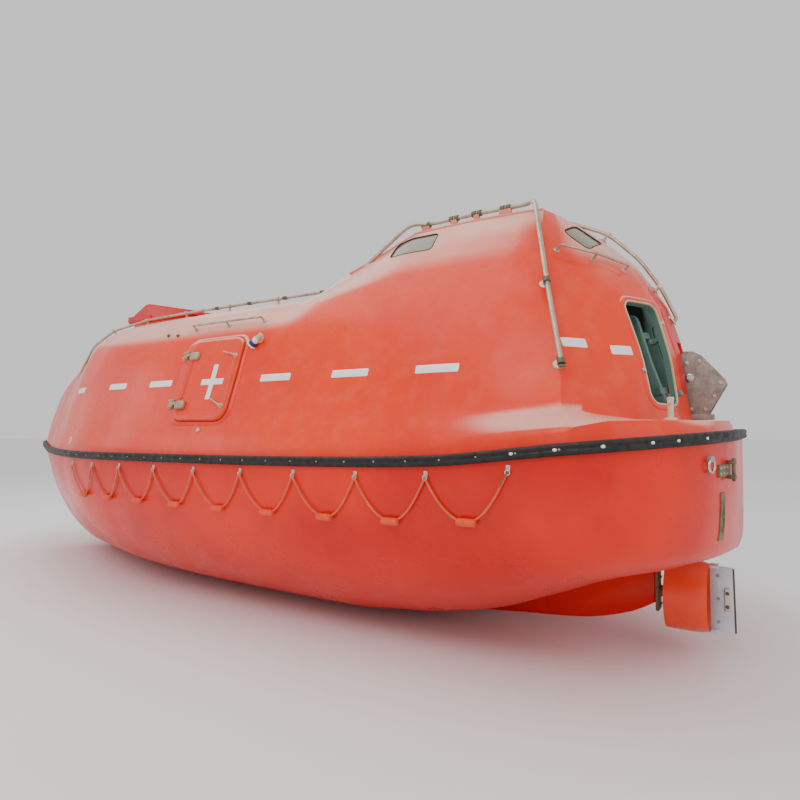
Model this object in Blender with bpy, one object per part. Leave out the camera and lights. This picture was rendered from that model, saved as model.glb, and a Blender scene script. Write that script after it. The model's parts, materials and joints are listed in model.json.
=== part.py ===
"""Enclosed lifeboat, eight metres long. +X to the bow, +Y to port, +Z up, metres.
All heights below are above the keel's base; the datum empty lowers them so that
z = 0 is the waterline."""
import math

import bpy
import numpy as np
from mathutils import Matrix, Quaternion, Vector
from mathutils.bvhtree import BVHTree

for old in list(bpy.data.objects):
    bpy.data.objects.remove(old, do_unlink=True)

# Driving sizes
DRAUGHT = 0.60
GAP = 0.0003
HULL_WALL = 0.040
TOP_WALL = 0.045
TUBE_R = 0.014
SHAFT_Z = 0.34
STOCK_X = -3.68
STOCK_R = 0.020
RING_R = 0.215
RING_WALL = 0.022
RING_LEN = 0.24
PROP_R = 0.180
PORT_DOOR_OPEN = -95.0

datum = bpy.data.objects.new("datum", None)
bpy.context.scene.collection.objects.link(datum)
datum.location = (0, 0, -DRAUGHT)


# Materials
def material(name, colour, rough, metal=0.0):
    mat = bpy.data.materials.new(name)
    mat.use_nodes = True
    node = mat.node_tree.nodes["Principled BSDF"]
    node.inputs["Base Color"].default_value = (*colour, 1)
    node.inputs["Roughness"].default_value = rough
    node.inputs["Metallic"].default_value = metal
    mat.diffuse_color = (*colour, 1)
    return mat


LOOKS = {
    "hull_red": ((0.75, 0.06, 0.02), 0.30, 0.0),
    "top_orange": ((0.80, 0.13, 0.04), 0.35, 0.0),
    "lid_red": ((0.70, 0.03, 0.04), 0.40, 0.0),
    "black_rubber": ((0.02, 0.02, 0.02), 0.70, 0.0),
    "rail_steel": ((0.55, 0.50, 0.42), 0.35, 1.0),
    "hook_grey": ((0.25, 0.24, 0.23), 0.60, 0.6),
    "galvanised": ((0.55, 0.58, 0.62), 0.50, 0.8),
    "bronze": ((0.60, 0.42, 0.18), 0.35, 1.0),
    "glass": ((0.50, 0.60, 0.55), 0.08, 0.0),
    "rope_orange": ((0.75, 0.16, 0.05), 0.80, 0.0),
    "liner_green": ((0.10, 0.20, 0.18), 0.60, 0.0),
    "engine_grey": ((0.30, 0.32, 0.33), 0.50, 0.4),
    "seat_vinyl": ((0.05, 0.06, 0.07), 0.60, 0.0),
    "cream": ((0.75, 0.70, 0.58), 0.45, 0.0),
}


def paint(ob, look):
    colour, rough, metal = LOOKS[look]
    ob.data.materials.clear()
    ob.data.materials.append(material("mat_" + ob.name, colour, rough, metal))


# Building blocks
def mesh_object(name, verts, faces, look=None, at=(0, 0, 0), parent=None):
    """Verts are given in datum coordinates; the origin goes to `at`."""
    base = Vector(at)
    mesh = bpy.data.meshes.new(name)
    mesh.from_pydata([tuple(Vector(v) - base) for v in verts], [], faces)
    mesh.validate()
    mesh.update()
    ob = bpy.data.objects.new(name, mesh)
    bpy.context.scene.collection.objects.link(ob)
    ob.parent = parent or datum
    ob.location = base - parent.location if parent else base
    if look:
        paint(ob, look)
    return ob


def box_data(lo, hi):
    verts = [(x, y, z) for x in (lo[0], hi[0]) for y in (lo[1], hi[1]) for z in (lo[2], hi[2])]
    faces = [(0, 1, 3, 2), (4, 6, 7, 5), (0, 4, 5, 1), (2, 3, 7, 6), (0, 2, 6, 4), (1, 5, 7, 3)]
    return verts, faces


def moved(data, matrix):
    verts, faces = data
    return [tuple(matrix @ Vector(v)) for v in verts], faces


def frame_to(origin, z_dir, x_dir):
    """Matrix with its z along z_dir and its x near x_dir."""
    z = Vector(z_dir).normalized()
    x = Vector(x_dir)
    x = (x - z * x.dot(z)).normalized()
    y = z.cross(x)
    m = Matrix((x, y, z)).transposed().to_4x4()
    m.translation = Vector(origin)
    return m


def prism(outline, z0, z1):
    """Outline is a list of (x, y) going anticlockwise."""
    n = len(outline)
    verts = [(x, y, z0) for x, y in outline] + [(x, y, z1) for x, y in outline]
    faces = [tuple(range(n - 1, -1, -1)), tuple(range(n, 2 * n))]
    faces += [(i, (i + 1) % n, n + (i + 1) % n, n + i) for i in range(n)]
    return verts, faces


def ring_outline(radius, count, start=0.0):
    return [(radius * math.cos(start + 2 * math.pi * i / count),
             radius * math.sin(start + 2 * math.pi * i / count)) for i in range(count)]


def round_rect(width, height, radius, steps=4):
    points = []
    for cx, cy, a0 in ((1, 1, 0), (-1, 1, 90), (-1, -1, 180), (1, -1, 270)):
        for i in range(steps + 1):
            a = math.radians(a0 + 90 * i / steps)
            points.append((cx * (width / 2 - radius) + radius * math.cos(a),
                           cy * (height / 2 - radius) + radius * math.sin(a)))
    return points


def rod(p0, p1, radius, count=10):
    p0, p1 = Vector(p0), Vector(p1)
    axis = p1 - p0
    side = (0, 0, 1) if abs(axis.normalized().z) < 0.9 else (1, 0, 0)
    return moved(prism(ring_outline(radius, count), 0, axis.length), frame_to(p0, axis, side))


def sweep(points, radius, count=8, closed=False):
    """Tube of one radius through the points, with mitred bends."""
    pts = [Vector(p) for p in points]
    n = len(pts)
    normal = None
    rings = []
    for i, p in enumerate(pts):
        if closed:
            a, b = pts[i - 1], pts[(i + 1) % n]
        else:
            a, b = pts[max(i - 1, 0)], pts[min(i + 1, n - 1)]
        before = (p - a).normalized() if (p - a).length else (b - p).normalized()
        after = (b - p).normalized() if (b - p).length else before
        tangent = (before + after).normalized()
        if normal is None:
            normal = Vector((0, 0, 1)) if abs(tangent.z) < 0.9 else Vector((1, 0, 0))
        normal = (normal - tangent * normal.dot(tangent)).normalized()
        other = tangent.cross(normal)
        stretch = 1.0 / max(0.6, before.dot(tangent))
        fold = after - before
        ring = []
        for k in range(count):
            t = 2 * math.pi * (k + 0.5) / count
            d = normal * math.cos(t) + other * math.sin(t)
            if fold.length > 1e-6:
                f = (fold - tangent * fold.dot(tangent)).normalized()
                d = d + f * d.dot(f) * (stretch - 1)
            ring.append(p + d * radius)
        rings.append(ring)
    verts = [tuple(v) for ring in rings for v in ring]
    faces = []
    last = n if closed else n - 1
    for i in range(last):
        j = (i + 1) % n
        for k in range(count):
            m = (k + 1) % count
            faces.append((i * count + k, i * count + m, j * count + m, j * count + k))
    if not closed:
        faces.append(tuple(range(count - 1, -1, -1)))
        faces.append(tuple((n - 1) * count + k for k in range(count)))
    return verts, faces


def hidden(name, data, parent=None):
    at = parent.location if parent else (0, 0, 0)
    ob = mesh_object(name, data[0], data[1], None, at, parent)
    ob.hide_render = True
    ob.display_type = "WIRE"
    return ob


def boolean(ob, other, kind):
    mod = ob.modifiers.new(kind.lower() + "_" + other.name, "BOOLEAN")
    mod.operation = kind
    mod.solver = "EXACT"
    mod.object = other


def cut(ob, name, data):
    boolean(ob, hidden("cut_" + name, data), "DIFFERENCE")


def fuse(ob, name, data, parent=None):
    boolean(ob, hidden("join_" + name, data, parent), "UNION")


def table(x, points):
    xs = [p[0] for p in points]
    ys = [p[1] for p in points]
    return float(np.interp(x, xs, ys))


# Hull lines: half breadth and height of the sheer, keel height, fullness of the section
BREADTH = [(-3.97, 0.42), (-3.93, 0.65), (-3.86, 0.865), (-3.76, 1.045), (-3.63, 1.21),
           (-3.47, 1.335), (-3.30, 1.375), (-3.00, 1.40), (0.0, 1.40), (0.5, 1.38), (1.0, 1.305),
           (1.5, 1.16), (2.0, 0.965), (2.5, 0.745), (3.0, 0.51), (3.5, 0.275), (3.7, 0.18),
           (3.85, 0.10), (3.93, 0.05), (3.97, 0.015)]
SHEER = [(-3.97, 1.36), (-3.30, 1.30), (-2.60, 1.225), (-2.0, 1.20), (-1.0, 1.18), (0.0, 1.17),
         (1.0, 1.16), (2.5, 1.155), (3.97, 1.18)]
KEEL = [(-3.97, 0.70), (-3.70, 0.62), (-3.44, 0.545), (-3.00, 0.35), (-2.63, 0.20), (-2.00, 0.06),
        (-1.50, 0.01), (0.0, 0.0), (1.5, 0.0), (2.3, 0.01), (2.6, 0.05), (2.85, 0.147),
        (3.97, 1.15)]
FULL = [(-3.97, 5.0), (-3.5, 3.6), (-3.0, 2.9), (-2.0, 2.4), (0.0, 2.3), (1.0, 2.1), (2.0, 1.8),
        (3.0, 1.5), (3.97, 1.3)]
HULL_X = [3.97, 3.90, 3.75, 3.5, 3.2, 2.85, 2.6, 2.3, 1.9, 1.5, 1.0, 0.5, 0.0, -0.8, -1.6, -2.2,
          -2.7, -3.05, -3.30, -3.47, -3.63, -3.76, -3.86, -3.93, -3.97]
HULL_STEPS = 9


def hull_half(x, inset=0.0):
    """Points from the sheer down to the keel on the port side."""
    half = max(table(x, BREADTH) - inset, 0.004)
    top = table(x, SHEER)
    keel = min(table(x, KEEL) + inset, top - 0.01)
    n = table(x, FULL)
    points = []
    for i in range(HULL_STEPS + 1):
        a = math.pi / 2 * i / HULL_STEPS
        points.append((x, half * math.cos(a) ** (2 / n), top - (top - keel) * math.sin(a) ** (2 / n)))
    return points


def hull_body(xs, inset=0.0, shift=0.0, top_up=None):
    """Closed body from the keel to the sheer, or to top_up above it."""
    rows = []
    for x in xs:
        half = hull_half(x, inset)
        half = [(px + shift, py, pz) for px, py, pz in half]
        if top_up is not None:
            half = [(half[0][0], half[0][1], half[0][2] + top_up)] + half
        other = [(px, -py, pz) for px, py, pz in half[-2::-1]]
        rows.append(half + other)
    n = len(rows[0])
    verts = [p for row in rows for p in row]
    faces = []
    for i in range(len(rows) - 1):
        for k in range(n):
            m = (k + 1) % n
            a, b, c, d = i * n + k, i * n + m, (i + 1) * n + m, (i + 1) * n + k
            if k < n // 2:
                faces += [(a, b, c), (a, c, d)]
            else:
                faces += [(a, b, d), (b, c, d)]
    faces.append(tuple(range(n - 1, -1, -1)))
    faces.append(tuple((len(rows) - 1) * n + k for k in range(n)))
    return verts, faces


# Canopy lines: each station runs from the sheer up to the centreline
MID = [(1, 0), (0.992, 0.055), (0.94, 0.21), (0.867, 0.43), (0.787, 0.67), (0.672, 0.83),
       (0.47, 0.933), (0.24, 0.985), (0, 1)]
BOW = [(1, 0), (0.975, 0.06), (0.87, 0.25), (0.74, 0.45), (0.58, 0.64), (0.43, 0.79),
       (0.28, 0.90), (0.14, 0.97), (0, 1)]
TOP = [(-1.0, 2.47), (1.5, 2.47), (2.0, 2.44), (2.4, 2.38), (2.7, 2.29), (3.0, 2.17), (3.3, 2.0),
       (3.5, 1.87), (3.7, 1.62), (3.8, 1.47), (3.9, 1.33), (3.955, 1.22)]
TOP_INSET = 0.012
SINK = 0.012


def plain_station(x):
    half = table(x, BREADTH) - TOP_INSET * min(1.0, table(x, BREADTH) / 0.045)
    low = table(x, SHEER) - SINK
    high = table(x, TOP)
    w = min(max((x - 1.2) / 1.8, 0.0), 1.0)
    w = w * w * (3 - 2 * w)
    points = []
    for (a, b), (c, d) in zip(MID, BOW):
        y = half * (a * (1 - w) + c * w)
        z = low + (high - low) * (b * (1 - w) + d * w)
        points.append((x, y, z))
    return points


def tower_station(x, upper):
    half = table(x, BREADTH) - TOP_INSET
    low = table(x, SHEER)
    return [(x, half, low - SINK), (x, half - 0.011, low + 0.07)] + [(x, y, z) for y, z in upper]


def edge(x):
    return (x, table(x, BREADTH) - TOP_INSET, table(x, SHEER) - SINK)


STATIONS = [plain_station(x) for x in (3.955, 3.9, 3.8, 3.65, 3.45, 3.2, 2.9, 2.5, 2.0, 1.5, 1.0,
                                       0.5, 0.0, -0.5, -0.9, -1.15)]
STATIONS += [
    tower_station(-1.45, [(1.30, 1.47), (1.20, 1.75), (1.075, 2.07), (0.93, 2.31), (0.66, 2.50),
                          (0.33, 2.56), (0, 2.57)]),
    tower_station(-1.80, [(1.295, 1.475), (1.19, 1.75), (1.06, 2.09), (0.90, 2.38), (0.635, 2.64),
                          (0.32, 2.69), (0, 2.70)]),
    tower_station(-2.06, [(1.29, 1.48), (1.185, 1.75), (1.045, 2.10), (0.875, 2.42), (0.62, 2.75),
                          (0.30, 2.785), (0, 2.79)]),
    tower_station(-2.50, [(1.285, 1.48), (1.18, 1.75), (1.035, 2.10), (0.86, 2.43), (0.615, 2.76),
                          (0.30, 2.80), (0, 2.805)]),
    tower_station(-2.85, [(1.27, 1.49), (1.165, 1.75), (1.02, 2.10), (0.84, 2.43), (0.61, 2.755),
                          (0.30, 2.795), (0, 2.80)]),
    [edge(-3.30), (-3.30, 1.345, 1.385), (-3.27, 1.24, 1.50), (-3.225, 1.115, 1.75),
     (-3.12, 0.97, 2.10), (-3.03, 0.79, 2.43), (-2.97, 0.60, 2.75), (-2.96, 0.30, 2.79),
     (-2.96, 0, 2.795)],
    [edge(-3.52), (-3.50, 1.25, 1.425), (-3.40, 1.08, 1.46), (-3.33, 0.94, 1.77),
     (-3.24, 0.79, 2.12), (-3.12, 0.64, 2.45), (-2.99, 0.47, 2.76), (-2.97, 0.25, 2.79),
     (-2.965, 0, 2.795)],
    [edge(-3.74), (-3.71, 1.02, 1.43), (-3.56, 0.82, 1.435), (-3.51, 0.68, 1.80),
     (-3.42, 0.57, 2.14), (-3.26, 0.43, 2.48), (-3.01, 0.32, 2.77), (-2.985, 0.17, 2.79),
     (-2.973, 0, 2.795)],
    [edge(-3.92), (-3.88, 0.60, 1.43), (-3.69, 0.42, 1.435), (-3.64, 0.34, 1.80),
     (-3.55, 0.28, 2.14), (-3.37, 0.22, 2.46), (-3.03, 0.16, 2.775), (-2.995, 0.08, 2.79),
     (-2.980, 0, 2.795)],
    [(-3.955, 0, 1.36 - SINK), (-3.925, 0, 1.43), (-3.74, 0, 1.435), (-3.68, 0, 1.85),
     (-3.59, 0, 2.15), (-3.40, 0, 2.46), (-3.04, 0, 2.785), (-3.005, 0, 2.793),
     (-2.990, 0, 2.795)],
]
TOP_GRID = np.array(STATIONS)


def grid_offset(grid, distance):
    """The same grid moved along its own normals; positive goes outwards."""
    def slopes(axis):
        return np.gradient(grid, axis=axis)
    along = slopes(0)
    across = slopes(1)
    along[-1] = (0.0, -1.0, 0.0)
    across[:, -1, 0] = 0.0
    across[:, -1, 1] = -1.0
    across[:, -1, 2] = 0.0
    across[-1] = np.gradient(grid[-1], axis=0)
    normal = np.cross(along, across)
    length = np.linalg.norm(normal, axis=2, keepdims=True)
    normal = normal / np.maximum(length, 1e-9)
    normal[:, -1, 1] = 0.0
    normal[-1, :, 1] = 0.0
    length = np.linalg.norm(normal, axis=2, keepdims=True)
    normal = normal / np.maximum(length, 1e-9)
    return grid + normal * distance


def shell_body(grid, bottom, front_cap):
    """Close a half grid: mirror it, drop the lowest row by `bottom`, and cap it below."""
    rows, cols = grid.shape[0], grid.shape[1]
    low = grid[:, :1, :].copy()
    low[:, :, 2] -= bottom
    if bottom > 0:
        grid = np.concatenate([low, grid], axis=1)
        cols += 1
    verts = []
    index = {}

    def vertex(p):
        key = (round(p[0], 5), round(p[1], 5), round(p[2], 5))
        if key not in index:
            index[key] = len(verts)
            verts.append(tuple(float(v) for v in p))
        return index[key]

    port = [[vertex(grid[i, k]) for k in range(cols)] for i in range(rows)]
    stbd = [[vertex(grid[i, k] * (1, -1, 1)) for k in range(cols)] for i in range(rows)]
    faces = []

    def add(*loop):
        clean = []
        for v in loop:
            if v not in clean:
                clean.append(v)
        if len(clean) > 2:
            faces.append(tuple(clean))

    for i in range(rows - 1):
        for k in range(cols - 1):
            for turn in ((0, 1, 2), (0, 2, 3)):
                loop = ((i, k), (i + 1, k), (i + 1, k + 1), (i, k + 1))
                add(*[port[loop[t][0]][loop[t][1]] for t in turn])
                add(*[stbd[loop[t][0]][loop[t][1]] for t in reversed(turn)])
        add(port[i][0], stbd[i][0], stbd[i + 1][0], port[i + 1][0])
    if front_cap:
        for k in range(cols - 1):
            add(port[0][k], port[0][k + 1], stbd[0][k + 1], stbd[0][k])
    return verts, faces


INNER_FROM = 2


def inner_top():
    """The hollow of the canopy, from a little behind the bow's tip."""
    return shell_body(grid_offset(TOP_GRID, -TOP_WALL)[INNER_FROM:], 0.12, True)


top_outer = shell_body(TOP_GRID, 0.0, True)
top_tree = BVHTree.FromPolygons([Vector(v) for v in top_outer[0]], top_outer[1])
hull_outer = hull_body(HULL_X)
hull_tree = BVHTree.FromPolygons([Vector(v) for v in hull_outer[0]], hull_outer[1])


def seat(tree, start, direction):
    """Where a line from outside meets the skin, and the skin's outward normal there."""
    hit, normal, _, _ = tree.ray_cast(Vector(start), Vector(direction).normalized())
    if normal.dot(Vector(direction)) > 0:
        normal = -normal
    return hit, normal


def top_side(x, z, side=1):
    return seat(top_tree, (x, 3 * side, z), (0, -side, 0))


def top_above(x, y):
    return seat(top_tree, (x, y, 5), (0, 0, -1))


def top_aft(y, z):
    return seat(top_tree, (-6, y, z), (1, 0, 0))


def hull_side(x, z, side=1):
    return seat(hull_tree, (x, 3 * side, z), (0, -side, 0))


top_skin = shell_body(grid_offset(TOP_GRID, GAP), 0.0, True)
skin_cut = hidden("cut_top_skin", top_skin)
hull_cut = hidden("cut_hull_skin", hull_body(HULL_X, -GAP, 0.0, GAP))


def clear_of_top(ob):
    boolean(ob, skin_cut, "DIFFERENCE")


def clear_of_hull(ob):
    boolean(ob, hull_cut, "DIFFERENCE")


# Hull: outer skin less the inside, with the skeg joined on
hull = mesh_object("hull", hull_outer[0], hull_outer[1], "hull_red")
INNER_X = [3.72, 3.5, 3.2, 2.85, 2.3, 1.9, 1.5, 1.0, 0.0, -0.8, -1.6, -2.2, -2.7, -3.05, -3.30,
           -3.47, -3.63, -3.76, -3.86, -3.92]
hull_inner = hull_body(INNER_X, HULL_WALL, 0.0, 0.2)
skeg_side = [(-1.2, 0.05), (-1.2, -0.004), (-2.0, 0.012), (-2.6, 0.06), (-3.03, 0.10),
             (-3.35, 0.19), (-3.49, 0.27), (-3.49, 0.62), (-3.2, 0.52), (-2.63, 0.26),
             (-2.0, 0.10)]
skeg = moved(prism(list(reversed([(x, z) for x, z in skeg_side])), -0.045, 0.045),
             Matrix.Rotation(math.radians(90), 4, "X"))
fuse(hull, "skeg", skeg)
cut(hull, "hull_inside", hull_inner)

# Canopy with its steering tower
canopy = mesh_object("canopy", top_outer[0], top_outer[1], "top_orange")
cut(canopy, "top_inside", inner_top())
clear_of_hull(canopy)


def opening_frame(point, normal, up=(0, 0, 1)):
    """Local z out of the skin, local y up along it."""
    z = Vector(normal).normalized()
    y = Vector(up)
    y = (y - z * y.dot(z)).normalized()
    x = y.cross(z)
    m = Matrix((x, y, z)).transposed().to_4x4()
    m.translation = Vector(point)
    return m


def mirrored(matrix):
    """The same frame on the starboard side."""
    flip = Matrix.Scale(-1, 4, (0, 1, 0))
    return flip @ matrix @ Matrix.Scale(-1, 4, (1, 0, 0))


# Side hatches: raised covers that lap their openings
HATCH_X = -0.61
HATCH_Z = 1.74
HATCH_W = 0.58
HATCH_H = 0.66
hatch_point, hatch_normal = top_side(HATCH_X, HATCH_Z)
hatch_normal.x = 0.0
HATCH = opening_frame(hatch_point, hatch_normal)
HATCH_HINGE = 0.045
HINGE_AT = 0.20
HINGE_HALF = 0.030
KNUCKLE = 0.014
KNUCKLE_GAP = 0.0005


lid_outer = hidden("cut_lid_outer", shell_body(grid_offset(TOP_GRID, 0.030), 0.0, True))
lid_inner = hidden("cut_lid_inner", shell_body(grid_offset(TOP_GRID, 0.004), 0.0, True))


def lid_on_skin(name, matrix, outline, look, at):
    """A cover 26 mm thick that stands 4 mm off the skin."""
    data = moved(prism(outline, -0.10, 0.12), matrix)
    ob = mesh_object(name, data[0], data[1], look, at)
    boolean(ob, lid_outer, "INTERSECT")
    boolean(ob, lid_inner, "DIFFERENCE")
    return ob


def local_box(x0, side, along, v, half, height):
    """A box by a hinge line at x0: `along` is measured away from the hinge line, inwards on
    the leaf, and `v` with `half` along the hinge."""
    xs = sorted((x0 + along[0] * side, x0 + along[1] * side))
    return box_data((xs[0], v - half, height[0]), (xs[1], v + half, height[1]))


def side_frame(matrix, side):
    if side > 0:
        return matrix
    return mirrored(matrix)


for tag, side in (("port", 1), ("stbd", -1)):
    m = side_frame(HATCH, side)
    cut(canopy, "side_doorway_" + tag, moved(prism(round_rect(0.50, 0.58, 0.07), -0.15, 0.15), m))
    hinge_local = Vector((-HATCH_W / 2 * side, 0, HATCH_HINGE))
    hinge_at = m @ hinge_local
    ob = lid_on_skin("side_hatch_" + tag, m, round_rect(HATCH_W, HATCH_H, 0.10), "top_orange", hinge_at)
    # each hinge has one knuckle on the cover between two knuckles on the canopy
    edge_x = -HATCH_W / 2 * side
    for i, v in enumerate((HINGE_AT, -HINGE_AT)):
        knuckle = local_box(edge_x, side, (-0.012, 0.012), v, KNUCKLE, (0.034, HATCH_HINGE + 0.010))
        strap = local_box(edge_x, side, (-0.010, 0.14), v, KNUCKLE, (0.018, 0.040))
        fuse(ob, "knuckle_%s_%d" % (tag, i), moved(knuckle, m))
        fuse(ob, "strap_%s_%d" % (tag, i), moved(strap, m))
        base = local_box(edge_x, side, (-0.075, -0.018), v, HINGE_HALF + 0.001, (-0.03, HATCH_HINGE + 0.011))
        fuse(canopy, "hinge_base_%s_%d" % (tag, i), moved(base, m))
        for end in (1, -1):
            middle = v + end * (HINGE_HALF + KNUCKLE + KNUCKLE_GAP) / 2
            half = (HINGE_HALF - KNUCKLE - KNUCKLE_GAP) / 2
            ear = local_box(edge_x, side, (-0.019, 0.010), middle, half, (0.035, HATCH_HINGE + 0.010))
            fuse(canopy, "hinge_ear_%s_%d_%d" % (tag, i, end), moved(ear, m))

# Aft doorways: plug doors that swing inwards; port stands open, starboard is shut
AFT_W = 0.32
AFT_H = 0.635
AFT_RISE = 0.0275
AFT_Y = 0.46
AFT_Z = 1.81
AFT_PIN_DEPTH = 0.090
AFT_HINGES = (0.18, -0.18)
LEAF_OUT = 0.018
LEAF_IN = 0.040


def raised(outline, x=0.0):
    return [(px + x, py + AFT_RISE) for px, py in outline]


aft_point, aft_normal = top_aft(AFT_Y, AFT_Z)
AFT = opening_frame(aft_point, aft_normal)
for tag, side in (("port", 1), ("stbd", -1)):
    m = side_frame(AFT, side)
    doorway = raised(round_rect(AFT_W, AFT_H, 0.07))
    cut(canopy, "aft_doorway_" + tag, moved(prism(doorway, -0.2, 0.2), m))
    # local x points inboard on the port side, so the hinge is at its positive end
    hinge_x = (AFT_W / 2 - 0.006) * side
    hinge_local = Vector((hinge_x, 0, -AFT_PIN_DEPTH))
    pivot = bpy.data.objects.new("pivot_aft_" + tag, None)
    bpy.context.scene.collection.objects.link(pivot)
    pivot.parent = datum
    pivot.location = m @ hinge_local
    axis = m.to_3x3() @ Vector((0, 1, 0))
    if side > 0:
        pivot.rotation_mode = "QUATERNION"
        pivot.rotation_quaternion = Quaternion(axis, math.radians(PORT_DOOR_OPEN))
    leaf_outline = raised(round_rect(AFT_W - 0.022, AFT_H - 0.014, 0.064), 0.005 * side)
    leaf = moved(prism(leaf_outline, -0.10, 0.12), m)
    ob = mesh_object("aft_door_" + tag, leaf[0], leaf[1], "liner_green", pivot.location, pivot)
    outer = hidden("cut_leaf_out_" + tag, shell_body(grid_offset(TOP_GRID, -LEAF_OUT), 0.0, True), pivot)
    inner = hidden("cut_leaf_in_" + tag,
                   shell_body(grid_offset(TOP_GRID, -LEAF_IN)[INNER_FROM:], 0.0, True), pivot)
    boolean(ob, outer, "INTERSECT")
    boolean(ob, inner, "DIFFERENCE")
    # the leaf's knuckles stand on brackets fixed to the inside of the wall
    for i, v in enumerate(AFT_HINGES):
        knuckle = local_box(hinge_x, side, (-0.070, -0.002), v, 0.020, (-0.098, -0.034))
        fuse(ob, "aft_strap_%s_%d" % (tag, i), moved(knuckle, m), pivot)
        below = v - 0.036 - KNUCKLE_GAP
        seat_box = local_box(hinge_x, side, (-0.010, 0.045), below, 0.016, (-0.106, -0.077))
        fuse(canopy, "aft_pin_seat_%s_%d" % (tag, i), moved(seat_box, m))
        root_box = local_box(hinge_x, side, (0.014, 0.043), below, 0.015, (-0.104, -0.028))
        fuse(canopy, "aft_pin_root_%s_%d" % (tag, i), moved(root_box, m))

# Windows of the tower: panes let into openings in the skin
PANE = 0.008
PANE_DEPTH = 0.006
WINDOWS = {
    "front": (seat(top_tree, (-1.62, 0.30, 5), (0, 0, -1)), (-1, 0, 0), 0.44, 0.42),
    "corner": (seat(top_tree, (-2.09, 0.71, 5), (0, 0, -1)), (0, -1, 0), 0.34, 0.17),
    "aft": (seat(top_tree, (-3.155, 0.375, 5), (0, 0, -1)), (1, 0, 0), 0.26, 0.20),
}
for kind, ((point, normal), up, width, height) in WINDOWS.items():
    for tag, side in (("port", 1), ("stbd", -1)):
        m = side_frame(opening_frame(point, normal, up), side)
        hole = moved(prism(round_rect(width, height, 0.03), -0.12, 0.12), m)
        cut(canopy, "window_%s_%s" % (kind, tag), hole)
        pane = moved(prism(round_rect(width - 2 * GAP, height - 2 * GAP, 0.03), -PANE_DEPTH - PANE, -PANE_DEPTH), m)
        mesh_object("pane_%s_%s" % (kind, tag), pane[0], pane[1], "glass")

# Fore hatch: a wedge-shaped cover on a coaming
LID_AFT = 0.66
LID_FORE = 1.72
LID_HALF = 0.36
cut(canopy, "fore_opening", box_data((LID_AFT + 0.12, -0.28, 2.2), (LID_FORE - 0.12, 0.28, 2.7)))
coaming_out = box_data((LID_AFT + 0.06, -0.32, 2.38), (LID_FORE - 0.06, 0.32, 2.50))
coaming = mesh_object("fore_coaming", coaming_out[0], coaming_out[1], "top_orange")
cut(coaming, "coaming_hole", box_data((LID_AFT + 0.09, -0.29, 2.3), (LID_FORE - 0.09, 0.29, 2.6)))
clear_of_top(coaming)
wedge_side = [(LID_AFT, 2.485), (LID_FORE, 2.485), (LID_FORE - 0.02, 2.53), (1.42, 2.66),
              (1.36, 2.668), (LID_AFT + 0.02, 2.535)]
wedge = moved(prism([(x, z) for x, z in wedge_side], -LID_HALF, LID_HALF),
              Matrix.Rotation(math.radians(90), 4, "X"))
fore_lid = mesh_object("fore_lid", wedge[0], wedge[1], "lid_red", (LID_AFT - 0.02, 0, 2.50))
lid_hollow = [(LID_AFT + 0.035, 2.4), (LID_FORE - 0.035, 2.4), (LID_FORE - 0.045, 2.515),
              (1.42, 2.635), (1.36, 2.643), (LID_AFT + 0.045, 2.512)]
cut(fore_lid, "lid_hollow", moved(prism(lid_hollow, -LID_HALF + 0.025, LID_HALF - 0.025),
                                  Matrix.Rotation(math.radians(90), 4, "X")))

# the lid's hinge: one knuckle on the lid at each side, between ears on the deck
LID_PIN = (LID_AFT - 0.02, 0.0, 2.50)
for i, y in enumerate((0.20, -0.20)):
    x, z = LID_PIN[0], LID_PIN[2]
    fuse(fore_lid, "lid_knuckle_%d" % i, box_data((x - 0.010, y - KNUCKLE, z - 0.010),
                                                  (LID_AFT + 0.02, y + KNUCKLE, z + 0.012)))
    for end in (1, -1):
        y0 = y + end * (KNUCKLE + KNUCKLE_GAP)
        y1 = y + end * HINGE_HALF
        ear = box_data((x - 0.020, min(y0, y1), 2.43), (x + 0.008, max(y0, y1), z + 0.010))
        fuse(canopy, "lid_ear_%d_%d" % (i, end), ear)

# Rub rail round the sheer
rail_xs = [3.90, 3.75, 3.5, 3.0, 2.5, 2.0, 1.5, 1.0, 0.5, 0.0, -0.8, -1.6, -2.2, -2.7, -3.05,
           -3.30, -3.47, -3.63, -3.76, -3.86, -3.93]


def rail_station(x, y, nx, ny, z):
    profile = [(0.0004, -0.042), (0.022, -0.042), (0.030, -0.026), (0.030, 0.020),
               (0.020, 0.034), (0.0004, 0.034)]
    return [(x + nx * a, y + ny * a, z + b) for a, b in profile]


def rail_body():
    line = [(x, table(x, BREADTH), table(x, SHEER)) for x in rail_xs]
    line = [(3.97, 0.0, 1.18)] + line + [(-3.97, 0.42, 1.36), (-3.97, 0.0, 1.36)]
    normals = []
    for i, p in enumerate(line):
        a = line[max(i - 1, 0)]
        b = line[min(i + 1, len(line) - 1)]
        tx, ty = b[0] - a[0], b[1] - a[1]
        length = math.hypot(tx, ty)
        normals.append((ty / length, -tx / length))
    normals[0] = (1.0, 0.0)
    normals[-1] = (-1.0, 0.0)
    loops = [rail_station(p[0], p[1], n[0], n[1], p[2]) for p, n in zip(line, normals)]
    other = [[(x, -y, z) for x, y, z in loop] for loop in loops[-2:0:-1]]
    loops = loops + other
    n = len(loops[0])
    count = len(loops)
    verts = [p for loop in loops for p in loop]
    faces = []
    for i in range(count):
        j = (i + 1) % count
        for k in range(n):
            m = (k + 1) % n
            faces.append((i * n + k, j * n + k, j * n + m, i * n + m))
    return verts, faces


rail_data = rail_body()
rub_rail = mesh_object("rub_rail", rail_data[0], rail_data[1], "black_rubber")
clear_of_hull(rub_rail)
clear_of_top(rub_rail)


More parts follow.
